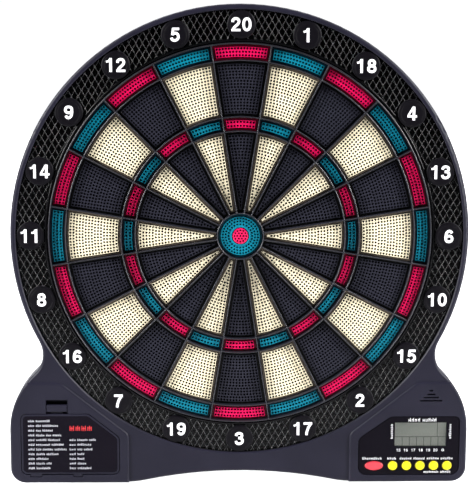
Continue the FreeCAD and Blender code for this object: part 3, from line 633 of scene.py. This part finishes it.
# The rounded top of a rib: distance from its centreline, depth behind the spider's front.
RIB_LEVELS = ((0.14, 0.0), (0.3, 0.07), (0.42, 0.22), (RIB_HALF, 2.4))
RIB_DEPTH = 6.0
SPIDER_FLANGE = 180.6
BULL_SIDES = 80


def in_open_cell(x, z, top_gap):
    """True where the spider is open: inside one of its cells or within the bull's ring."""
    radius = math.hypot(x, z)
    if radius < BULL_RING - top_gap:
        return True
    off = (math.degrees(math.atan2(x, z)) + STEP / 2) % STEP
    off = min(off, STEP - off)
    from_rib = radius * math.sin(math.radians(off))
    return from_rib > top_gap and any(a + top_gap < radius < b - top_gap for a, b in RINGS)


def make_spider():
    """The ribs with rounded tops, the bull's ring and the flange behind the catch ring."""
    shape = Shape()
    back, flange_back = SPIDER_FRONT + RIB_DEPTH, node_box("spider")[1][1]
    inner_levels = RIB_LEVELS + ((RIB_HALF, RIB_DEPTH),)
    top_gap = RIB_LEVELS[0][0]
    outer_count = SECTORS * ARC_PARTS
    skirt = [(DOUBLE_OUTER + RIB_HALF, back), (SPIDER_FLANGE, back), (SPIDER_FLANGE, flange_back),
             (DOUBLE_OUTER - RIB_HALF, flange_back)]
    rim = [(DOUBLE_OUTER + g, SPIDER_FRONT + d) for g, d in RIB_LEVELS]
    outside = shape.rings(rim + skirt, outer_count)
    shape.skin(outside)
    where = list(outside[0])
    bull = shape.rings([(BULL_RING - g, SPIDER_FRONT + d) for g, d in inner_levels], BULL_SIDES)
    shape.skin(bull, inward=True)
    where += bull[0]
    holes = [circle_loop(BULL_RING - top_gap, BULL_SIDES)]
    for k in range(SECTORS):
        for inner, outer in RINGS:
            loops = []
            for g, d in inner_levels:
                loop = turned(cell_loop(inner + g, outer - g, g), STEP * k)
                loops.append(shape.add(at_depth(loop, SPIDER_FRONT + d)))
            shape.skin(loops, inward=True)
            where += loops[0]
            holes.append(turned(cell_loop(inner + top_gap, outer - top_gap, top_gap), STEP * k))
    outline = circle_loop(DOUBLE_OUTER + top_gap, outer_count)
    triangles = triangulate(outline, holes, lambda x, z, owners: in_open_cell(x, z, top_gap))
    behind = shape.add(at_depth(outline + sum(holes, []), back))
    for ids in triangles:
        shape.face([where[i] for i in ids])
        shape.face([behind[i] for i in reversed(ids)])
    finish_piece(shape.to_object("spider_web", ["spider"], 50), "root", "spider", "spider")


make_spider()


# ---- catch ring -----------------------------------------------------------------------------
LATTICE_INNER, LATTICE_OUTER = 176.0, 200.8
LATTICE_FLOOR, LATTICE_TOP = -22.6, -24.6
LATTICE_ANGLE = 60.0
CELL_WIDTH = 6.0
LATTICE_PITCH = CELL_WIDTH * math.sin(math.radians(LATTICE_ANGLE))
BAR_HALF = 0.2
SHORTEST_BAR = 1.0
DOME_RADIUS, DOME_CLEAR = 0.85, 1.2
BAND_RADIUS, BAND_DEPTH, BAND_BACK = 174.5, -23.2, -21.1
CATCH_FLANGE, FLANGE_DEPTH, CATCH_INSIDE = 203.8, -24.1, -22.2
WALL_INNER, WALL_OUTER, WALL_BACK = 194.5, 196.0, -15.9
DISC_CENTRES = [polar(DISC_CENTRE, STEP * k) for k in range(SECTORS)]


def make_catch_ring_base():
    """Rounded inner band, the floor of the lattice, the outer lip and the hidden flange and walls."""
    band = [(BAND_RADIUS - 1.5 * math.cos(math.radians(a)), BAND_DEPTH - 1.4 * math.sin(math.radians(a)))
            for a in range(0, 181, 12)]
    profile = [(CATCH_INNER, BAND_BACK)] + band + [
        (LATTICE_INNER, LATTICE_FLOOR), (200.7, LATTICE_FLOOR), (200.7, LATTICE_TOP + 0.15),
        (LATTICE_OUTER, LATTICE_TOP), (201.1, LATTICE_TOP), (CATCH_OUTER, LATTICE_TOP + 0.1),
        (CATCH_OUTER, FLANGE_DEPTH), (CATCH_FLANGE, FLANGE_DEPTH), (CATCH_FLANGE, CATCH_INSIDE),
        (WALL_OUTER, CATCH_INSIDE), (WALL_OUTER, WALL_BACK), (WALL_INNER, WALL_BACK),
        (WALL_INNER, CATCH_INSIDE), (BAND_RADIUS, CATCH_INSIDE), (BAND_RADIUS, BAND_BACK)]
    shape = Shape()
    loops = shape.rings(profile, 360)
    shape.skin(loops + loops[:1])
    finish_piece(shape.to_object("catch_ring_base", ["catch"], 35), "root", "catch_ring", "catch_ring")


def line_spans(offset, way):
    """Where a line at a distance from the centre crosses the lattice, outside the number discs."""
    ux, uz = math.cos(way), math.sin(way)
    px, pz = -uz * offset, ux * offset
    outer = math.sqrt(LATTICE_OUTER ** 2 - offset ** 2)
    spans = [(-outer, outer)]
    if abs(offset) < LATTICE_INNER:
        inner = math.sqrt(LATTICE_INNER ** 2 - offset ** 2)
        spans = [(-outer, -inner), (inner, outer)]
    for cx, cz in DISC_CENTRES:
        along = (cx - px) * ux + (cz - pz) * uz
        across = (cx - px) * uz - (cz - pz) * ux
        if abs(across) >= DISC_RADIUS:
            continue
        half = math.sqrt(DISC_RADIUS ** 2 - across ** 2)
        cut = []
        for start, end in spans:
            if start < along - half:
                cut.append((start, min(end, along - half)))
            if end > along + half:
                cut.append((max(start, along + half), end))
        spans = cut
    return [[(px + ux * a, pz + uz * a) for a in span] for span in spans
            if span[1] - span[0] > SHORTEST_BAR]


def add_bar(shape, start, end, top):
    """Bar with a rounded top between two points."""
    (x0, z0), (x1, z1) = start, end
    length = math.hypot(x1 - x0, z1 - z0)
    nx, nz = -(z1 - z0) / length, (x1 - x0) / length
    foot, round_half = LATTICE_FLOOR + 0.1, BAR_HALF * 0.55
    section = ((-BAR_HALF, foot), (-BAR_HALF, top + 0.25), (-round_half, top + 0.05), (0.0, top),
               (round_half, top + 0.05), (BAR_HALF, top + 0.25), (BAR_HALF, foot))
    first = shape.add([(x0 + nx * a, y, z0 + nz * a) for a, y in section])
    second = shape.add([(x1 + nx * a, y, z1 + nz * a) for a, y in section])
    shape.bridge(first, second)
    shape.face(first[::-1])
    shape.face(second)


def make_lattice():
    """Two families of slanting bars that cross, one a hair behind the other."""
    shape = Shape()
    count = int(LATTICE_OUTER / LATTICE_PITCH)
    for sign in (1, -1):
        way = math.radians(LATTICE_ANGLE * sign)
        for k in range(-count, count + 1):
            for start, end in line_spans(k * LATTICE_PITCH, way):
                add_bar(shape, start, end, LATTICE_TOP + (0.0 if sign > 0 else 0.06))
    finish_piece(shape.to_object("catch_ring_lattice", ["lattice"], 50), "root", "catch_ring")


def make_domes():
    """Small dome at the centre of every whole cell of the lattice."""
    shape = Shape()
    step_z = CELL_WIDTH * math.tan(math.radians(LATTICE_ANGLE)) / 2
    rows = int(LATTICE_OUTER / step_z) + 1
    rise = ((1.0, 0.0), (0.93, 0.35), (0.71, 0.68), (0.38, 0.9))  # share of the radius, height
    profile = [(DOME_RADIUS * r, LATTICE_FLOOR + 0.05 - height) for r, height in rise]
    for row in range(-rows, rows + 1):
        for column in range(-rows, rows + 1):
            x, z = (column + 0.5 * ((row + 1) % 2)) * CELL_WIDTH, row * step_z
            if not LATTICE_INNER + DOME_CLEAR < math.hypot(x, z) < LATTICE_OUTER - DOME_CLEAR:
                continue
            if any(math.hypot(x - cx, z - cz) < DISC_RADIUS + DOME_CLEAR for cx, cz in DISC_CENTRES):
                continue
            shape.stack(shape.rings(profile, 10, x, z))
    finish_piece(shape.to_object("catch_ring_domes", ["catch"], 60), "root", "catch_ring")


def make_discs():
    """Twenty round number carriers with a rounded edge."""
    shape = Shape()
    profile = ((DISC_RADIUS, LATTICE_FLOOR + 0.1), (DISC_RADIUS, -24.8), (12.48, -25.15), (12.15, -25.45),
               (11.7, -25.68), (11.2, -25.78), (10.6, DISC_FRONT), (10.2, DISC_FRONT),
               (10.05, DISC_FRONT + 0.12), (9.9, DISC_FRONT + 0.12), (9.75, DISC_FRONT))
    for cx, cz in DISC_CENTRES:
        shape.stack(shape.rings(profile, 72, cx, cz))
    finish_piece(shape.to_object("number_discs", ["disc"], 30), "root", "catch_ring")


make_catch_ring_base()
make_lattice()
make_domes()
make_discs()


# ---- numbers and prints ---------------------------------------------------------------------
def oval(cx, cz, rx, rz, count=30):
    """Closed path of a slightly squared oval."""
    path = []
    for i in range(count):
        a = 2 * math.pi * i / count
        c, s = math.cos(a), math.sin(a)
        path.append((cx + rx * math.copysign(abs(c) ** 0.9, c), cz + rz * math.copysign(abs(s) ** 0.9, s)))
    return path


def smooth(points, steps=7):
    """Open path through the points, rounded as a Catmull-Rom curve."""
    ends = [points[0]] + list(points) + [points[-1]]
    path = []
    for a, b, c, d in zip(ends, ends[1:], ends[2:], ends[3:]):
        for i in range(steps):
            t = i / steps
            path.append(tuple(0.5 * (2 * q + (r - p) * t + (2 * p - 5 * q + 4 * r - u) * t * t
                                     + (3 * q - p - 3 * r + u) * t ** 3)
                              for p, q, r, u in zip(a, b, c, d)))
    return path + [points[-1]]


BOLD = 0.205


def line(*points, width=BOLD):
    """Straight strokes of a digit, as (path, closed, width)."""
    return list(points), False, width


def curve(*points):
    return smooth(points), False, BOLD


def ring(cx, cz, rx, rz):
    return oval(cx, cz, rx, rz), True, BOLD


# Strokes of each digit in a cell one unit high.
SIX = [ring(0.388, 0.318, 0.235, 0.215),
       curve((0.155, 0.32), (0.155, 0.52), (0.21, 0.76), (0.32, 0.875), (0.43, 0.9), (0.53, 0.85),
             (0.60, 0.74))]
DIGITS = {
    "0": [ring(0.388, 0.5, 0.235, 0.4)],
    "1": [line((0.43, 0.0), (0.43, 1.0)), line((0.10, 0.735), (0.27, 0.765), (0.40, 0.93), width=0.155)],
    "2": [curve((0.15, 0.66), (0.17, 0.80), (0.27, 0.89), (0.39, 0.905), (0.52, 0.87), (0.59, 0.77),
                (0.595, 0.66), (0.53, 0.53), (0.40, 0.40), (0.26, 0.27), (0.18, 0.13)),
          line((0.06, 0.09), (0.71, 0.09), width=0.18)],
    "3": [curve((0.14, 0.70), (0.18, 0.83), (0.28, 0.90), (0.40, 0.905), (0.53, 0.86), (0.58, 0.75),
                (0.54, 0.61), (0.43, 0.545), (0.30, 0.54)),
          curve((0.34, 0.535), (0.49, 0.52), (0.60, 0.42), (0.62, 0.28), (0.55, 0.15), (0.41, 0.09),
                (0.27, 0.10), (0.17, 0.17), (0.13, 0.30))],
    "4": [line((0.51, 0.0), (0.51, 1.0)), line((0.46, 0.95), (0.10, 0.34), width=0.15),
          line((0.04, 0.29), (0.74, 0.29), width=0.17)],
    "5": [line((0.19, 0.905), (0.68, 0.905), width=0.19), line((0.245, 0.95), (0.19, 0.46), width=0.18),
          curve((0.175, 0.49), (0.27, 0.58), (0.40, 0.605), (0.54, 0.55), (0.61, 0.42), (0.61, 0.28),
                (0.54, 0.16), (0.40, 0.09), (0.26, 0.10), (0.16, 0.17), (0.12, 0.28))],
    "6": SIX,
    "7": [line((0.06, 0.905), (0.71, 0.905), width=0.19),
          curve((0.61, 0.86), (0.47, 0.66), (0.37, 0.42), (0.31, 0.2), (0.29, 0.0))],
    "8": [ring(0.388, 0.72, 0.2, 0.182), ring(0.388, 0.302, 0.24, 0.205)],
    "9": [([(0.776 - x, 1.0 - z) for x, z in path], closed, width) for path, closed, width in SIX],
}
ADVANCE = 0.78
DIAL_NUMBER_HEIGHT, DIAL_NUMBER_WEIGHT = 12.2, 0.93


def stroke_quads(path, closed, width):
    """Flat quads that cover a stroke of a given width along a path."""
    count = len(path)
    sides = []
    for i, (x, z) in enumerate(path):
        before = path[i - 1] if closed or i > 0 else path[i]
        after = path[(i + 1) % count] if closed or i < count - 1 else path[i]
        dx, dz = after[0] - before[0], after[1] - before[1]
        size = math.hypot(dx, dz)
        nx, nz = -dz / size * width / 2, dx / size * width / 2
        sides.append(((x + nx, z + nz), (x - nx, z - nz)))
    quads = []
    for i in range(count if closed else count - 1):
        (a, b), (c, d) = sides[i], sides[(i + 1) % count]
        quads.append((a, b, d, c))
    return quads


def counterclockwise(quad):
    """The quad's corners, turned round where they run clockwise."""
    area = sum(a[0] * b[1] - b[0] * a[1] for a, b in zip(quad, quad[1:] + quad[:1]))
    return quad if area > 0 else quad[::-1]


def add_print(shape, quads, front, back):
    """Thin raised print: the union of flat quads, with walls down to the surface behind it."""
    points = [Vector(corner) for quad in quads for corner in counterclockwise(quad)]
    faces = [tuple(range(4 * i, 4 * i + 4)) for i in range(len(quads))]
    places, _, triangles, _, _, sources = delaunay_2d_cdt(points, [], faces, 1, 1e-6)
    triangles = [triangle for triangle, source in zip(triangles, sources) if source]
    fronts = shape.add([(p.x, front, p.y) for p in places])
    backs = shape.add([(p.x, back, p.y) for p in places])
    open_edges = set()
    for a, b, c in triangles:
        u, v = places[b] - places[a], places[c] - places[a]
        if u.x * v.y - u.y * v.x > 0:
            b, c = c, b
        shape.face((fronts[a], fronts[c], fronts[b]))
        shape.face((backs[a], backs[b], backs[c]))
        for edge in ((a, c), (c, b), (b, a)):
            if edge[::-1] in open_edges:
                open_edges.remove(edge[::-1])
            else:
                open_edges.add(edge)
    for a, b in sorted(open_edges):
        shape.face((fronts[b], fronts[a], backs[a], backs[b]))


def print_piece(name, material, quads, front, back, body, slot):
    """A piece of its own made of flat quads."""
    shape = Shape()
    add_print(shape, quads, front, back)
    finish_piece(shape.to_object(name, [material]), body, slot)


def number_quads(text, cx, cz, height, weight):
    """Quads of a number, centred on a point; weight thins its strokes."""
    left = cx - ADVANCE * height * len(text) / 2
    quads = []
    for i, digit in enumerate(text):
        shift = ADVANCE * i
        for path, closed, width in DIGITS[digit]:
            for quad in stroke_quads(path, closed, width * weight):
                quads.append(tuple((left + (shift + x) * height, cz + (z - 0.5) * height) for x, z in quad))
    return quads


def make_dial_numbers():
    """The number of each sector, raised on its disc."""
    for number, (cx, cz) in zip(DIAL, DISC_CENTRES):
        quads = number_quads(str(number), cx, cz, DIAL_NUMBER_HEIGHT, DIAL_NUMBER_WEIGHT)
        print_piece("number_%02d" % number, "white_ink", quads, DISC_FRONT - 0.1, DISC_FRONT + 0.2,
                    "root", "catch_ring")


make_dial_numbers()


def bar_quad(x0, x1, z0, z1):
    """Upright rectangle as a quad."""
    return ((x0, z0), (x1, z0), (x1, z1), (x0, z1))


def tick_word(left, base, marks, advance, height, chance):
    """A word's worth of upright ticks, in place of small lettering."""
    quads = []
    for i in range(marks):
        x = left + advance * i
        for share in (0.0, 0.46):
            tall = chance.choice((0.72, 0.72, 1.0))
            x0 = x + advance * share
            quads.append(bar_quad(x0, x0 + advance * 0.15, base, base + height * tall))
        rung = base + height * chance.choice((0.05, 0.3, 0.55))
        quads.append(bar_quad(x, x + advance * 0.6, rung, rung + height * 0.1))
    return quads


def upright(quads, cx, cz):
    """Quads turned a quarter about a point, to read upwards."""
    return [tuple((cx - (z - cz), cz + (x - cx)) for x, z in quad) for quad in quads]


LIST_LEFT = ((3, 8), (3, 3, 9), (3, 3, 6), (3, 5, 3, 5), (3, 6, 7), (3, 8, 7), (3, 3, 6, 7), (3, 5, 7),
             (3, 7), (3, 5, 3), (3, 8))
LIST_RIGHT = ((3, 6, 4), (3, 8), (3, 3, 5), (3, 4), (3, 4), (3, 5), (3, 8))
LIST_STARTS = ((LIST_LEFT, -193.2, -171.7), (LIST_RIGHT, -155.6, -189.6))
LIST_LINE, LIST_HEIGHT, LIST_SPACE = 4.47, 2.1, 1.1
NUMBER_ADVANCE, WORD_ADVANCE = 2.0, 1.62
TITLE_LEFT, TITLE_BASE, TITLE_STEP = -155.4, -180.0, 5.4
TITLE_PITCH, TITLE_STROKE, TITLE_HEIGHTS = 1.6, 0.7, (4.7, 3.8)
RUNG_HEIGHTS, RUNG_LENGTH, RUNG_STROKE = (1.8, 2.3), 3.9, 0.6
PRINT_RISE, PRINT_SUNK = 0.04, 0.05


def make_label_print():
    """Tick marks for the label's two columns of lines, and red ones for its title."""
    chance = random.Random(7)
    quads = []
    for words_per_line, left, first_z in LIST_STARTS:
        for line, words in enumerate(words_per_line):
            x = left
            for i, marks in enumerate(words):
                advance = NUMBER_ADVANCE if i == 0 else WORD_ADVANCE
                quads += tick_word(x, first_z - LIST_LINE * line, marks, advance, LIST_HEIGHT, chance)
                x += advance * marks + LIST_SPACE
    front = node_box("games_label")[0][1]
    print_piece("label_list_marks", "grey_ink", quads, front - PRINT_RISE, front + PRINT_SUNK,
                "door", "label")

    title = []
    for i in range(4):
        x = TITLE_LEFT + TITLE_STEP * i
        for j in range(3):
            left, top = x + TITLE_PITCH * j, TITLE_BASE + TITLE_HEIGHTS[(i + j) % 2]
            title.append(bar_quad(left, left + TITLE_STROKE, TITLE_BASE, top))
        rung = TITLE_BASE + RUNG_HEIGHTS[i % 2]
        title.append(bar_quad(x, x + RUNG_LENGTH, rung, rung + RUNG_STROKE))
    print_piece("label_title_marks", "red_ink", title, front - PRINT_RISE, front + PRINT_SUNK,
                "door", "label")


make_label_print()


# Words printed on the panel: centre, foot, number of marks, width, height.
PANEL_WORDS = (
    (161.5, -172.2, 4, 11.5, 3.3), (175.5, -172.2, 5, 13.4, 3.3),
    (122.9, -208.4, 9, 18.4, 2.3), (141.2, -208.4, 4, 8.6, 2.3), (154.0, -208.4, 6, 11.2, 2.3),
    (166.5, -208.4, 6, 10.8, 2.3), (179.3, -208.4, 6, 11.6, 2.3), (192.2, -208.4, 6, 11.5, 2.3),
    (177.8, -221.3, 9, 14.2, 2.3), (191.3, -221.3, 5, 9.8, 2.3))
SCORE_LEFT, SCORE_STEP, SCORE_MIDDLE, SCORE_HEIGHT = 146.8, 6.87, -199.4, 2.7
BULL_MARK_X, BULL_MARK_RADIUS = 188.0, 0.95


def make_panel_print():
    """Tick marks beside the display and over the buttons, and the row of scoring numbers."""
    chance = random.Random(11)
    quads = []
    for cx, base, marks, width, height in PANEL_WORDS:
        quads += tick_word(cx - width / 2, base, marks, width / marks, height, chance)
    for cx in (140.3, 194.2):
        quads += upright(tick_word(cx - 7.2, -182.3, 7, 2.05, 2.2, chance), cx, -181.2)
    for i, text in enumerate(("15", "16", "17", "18", "19", "20")):
        quads += number_quads(text, SCORE_LEFT + SCORE_STEP * i, SCORE_MIDDLE, SCORE_HEIGHT, 0.6)
    quads += stroke_quads(circle_loop(BULL_MARK_RADIUS, 18, BULL_MARK_X, SCORE_MIDDLE), True, 0.45)
    front = node_box("control_panel")[0][1]
    print_piece("panel_marks", "white_ink", quads, front - PRINT_RISE, front + PRINT_SUNK, "root", "panel")


make_panel_print()


LINE_HALF = 0.24
SCORE_LINE_Z, COUNT_LINE_X = -187.1, 182.7
DIVIDER_LEFT, DIVIDER_STEP = 150.4, 6.64


def make_lcd_marks():
    """Printed frame lines of the display, on the glass behind the window."""
    low, high = node_box("lcd_window")
    front = node_box("lcd_glass")[0][1]
    quads = [bar_quad(low[0], high[0], SCORE_LINE_Z - LINE_HALF, SCORE_LINE_Z + LINE_HALF),
             bar_quad(COUNT_LINE_X - LINE_HALF, COUNT_LINE_X + LINE_HALF, SCORE_LINE_Z, high[2])]
    for i in range(6):
        x = DIVIDER_LEFT + DIVIDER_STEP * i
        quads.append(bar_quad(x - LINE_HALF, x + LINE_HALF, low[2], SCORE_LINE_Z))
    print_piece("display_marks", "lcd_line", quads, front - 0.05, front + 0.02, "root", "lcd")


make_lcd_marks()


# ---- buttons --------------------------------------------------------------------------------
BUTTON_FLANGE_TOP, BUTTON_FLANGE_BACK, STEM_RADIUS = -25.4, -24.4, 1.8
BUTTON_FLANGE = 1.1


def make_button(node, material, slot):
    """Domed cap on a flange and a stem; round, or oval where its CAD box is wider than high."""
    low, high = node_box(node)
    cx, cz = (low[0] + high[0]) / 2, (low[2] + high[2]) / 2
    half_x, half_z = (high[0] - low[0]) / 2 - BUTTON_FLANGE, (high[2] - low[2]) / 2 - BUTTON_FLANGE
    front, stem_end = low[1], high[1]
    profile = ((1.9, front), (1.2, front + 0.04), (0.72, front + 0.16), (0.36, front + 0.4),
               (0.12, front + 0.8), (0.0, front + 1.3), (0.0, BUTTON_FLANGE_TOP),
               (-BUTTON_FLANGE, BUTTON_FLANGE_TOP), (-BUTTON_FLANGE, BUTTON_FLANGE_BACK))
    shape = Shape()
    loops = []
    for inset, y in profile:
        loop = [(cx + x * (half_x - inset), cz + z * (half_z - inset)) for x, z in circle_loop(1.0, 64)]
        loops.append(shape.add(at_depth(loop, y)))
    for y in (BUTTON_FLANGE_BACK, stem_end):
        loops.append(shape.add(at_depth(circle_loop(STEM_RADIUS, 64, cx, cz), y)))
    shape.skin(loops)
    shape.face(loops[0])
    shape.face(loops[-1][::-1])
    finish_piece(shape.to_object(node + "_cap", [material], 50), node, slot, node)


make_button("next_button", "red_button", "red_button")
for button in ("game_button", "player_button", "option_button", "bounce_button", "double_button"):
    make_button(button, "yellow", "yellow_button")


# ---- finish ---------------------------------------------------------------------------------
CAD_NODES = {
    "housing": "front_housing rear_cover battery_door door_latch",
    "steel": "housing_screws plate_screws pcb_screws speaker battery_contacts",
    "inner": "matrix_connector backing_plate tact_switches battery_box",
    "mat": "rubber_mat zebra_strips", "wire": "speaker_leads battery_leads",
    "film": "sensor_matrix", "panel": "control_panel", "window": "lcd_window", "lcd": "lcd_glass",
    "board": "main_pcb", "resin": "controller_chip", "label": "games_label", "cell": "battery_cells",
}


def dress_cad_nodes():
    """Materials for the pieces that are carried over from the CAD as they are."""
    for material, nodes in CAD_NODES.items():
        for node in nodes.split():
            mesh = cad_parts[node].data
            mesh.materials.clear()
            mesh.materials.append(MATERIALS[material])


dress_cad_nodes()


# ---- stage ----------------------------------------------------------------------------------
def make_floor():
    """Plain white rectangle under the board."""
    z = CAD_BOX[0][2] - FLOOR_DROP
    mesh = bpy.data.meshes.new("floor")
    mesh.from_pydata([(-FLOOR_HALF, FLOOR_FRONT, z), (FLOOR_HALF, FLOOR_FRONT, z),
                      (FLOOR_HALF, FLOOR_REAR, z), (-FLOOR_HALF, FLOOR_REAR, z)], [], [(0, 1, 2, 3)])
    floor = new_object("floor", mesh)
    mesh.materials.append(Paint("floor", (0.9, 0.9, 0.92), 0.4).material)


def area_light(name, location, target, size, power, spread):
    """Softbox that faces a target and stays out of the picture."""
    data = bpy.data.lights.new(name, "AREA")
    data.shape = "RECTANGLE"
    data.size, data.size_y = size
    data.energy = power
    data.spread = math.radians(spread)
    light = new_object(name, data)
    light.location = location
    light.rotation_euler = (Vector(target) - Vector(location)).to_track_quat("-Z", "Y").to_euler()
    light.visible_camera = False


# Lengths of the stage are in metres, powers in watts and spreads in degrees.
FLOOR_DROP, FLOOR_HALF, FLOOR_FRONT, FLOOR_REAR = 0.015, 3.4, -3.4, 4.2
SIDE_BOX_PLACE, SIDE_BOX = (1.45, -0.5, 0.62), ((0.25, 1.1), 12, 66)  # size, power, spread
REAR_BOX_PLACE, REAR_BOX = (0, 2.4, 2.2), ((5.0, 2.8), 230, 140)
SKY_LOW, SKY_HIGH, SKY_BEHIND, SKY_SEEN = 0.02, 0.13, 1.15, 1.05


def make_stage():
    """White floor, two tall softboxes that graze the board from its sides, and one over the floor
    behind it."""
    make_floor()
    x, y, z = SIDE_BOX_PLACE
    for name, side in (("left_softbox", -1), ("right_softbox", 1)):
        area_light(name, (x * side, y, z), (0, 0, 0), *SIDE_BOX)
    area_light("rear_softbox", REAR_BOX_PLACE, (*REAR_BOX_PLACE[:2], 0), *REAR_BOX)
    make_sky()


def make_sky():
    """Light that is dim in front, a little brighter overhead and white behind. The camera sees an even
    white in every direction."""
    world = bpy.data.worlds.new("studio")
    world.use_nodes = True
    nodes, links = world.node_tree.nodes, world.node_tree.links
    where = nodes.new("ShaderNodeTexCoord")
    split = nodes.new("ShaderNodeSeparateXYZ")
    links.new(where.outputs["Generated"], split.inputs[0])
    fades = []
    for axis, start, end, low, high in (("Z", 0.0, 1.0, SKY_LOW, SKY_HIGH),
                                        ("Y", 0.5, 0.75, 0.0, SKY_BEHIND)):
        fade = add_node(nodes, "MapRange", From_Min=start, From_Max=end, To_Min=low, To_Max=high)
        links.new(split.outputs[axis], fade.inputs["Value"])
        fades.append(fade.outputs["Result"])
    brighter = nodes.new("ShaderNodeMath")
    brighter.operation = "MAXIMUM"
    links.new(fades[0], brighter.inputs[0])
    links.new(fades[1], brighter.inputs[1])
    backdrop = nodes.new("ShaderNodeMix")
    rays = nodes.new("ShaderNodeLightPath")
    links.new(rays.outputs["Is Camera Ray"], backdrop.inputs[0])
    links.new(brighter.outputs[0], backdrop.inputs[2])
    backdrop.inputs[3].default_value = SKY_SEEN
    links.new(backdrop.outputs[0], nodes["Background"].inputs["Strength"])
    nodes["Background"].inputs["Color"].default_value = (0.98, 0.985, 1.0, 1.0)
    bpy.context.scene.world = world
    bpy.context.scene.view_settings.view_transform = "Standard"


make_stage()
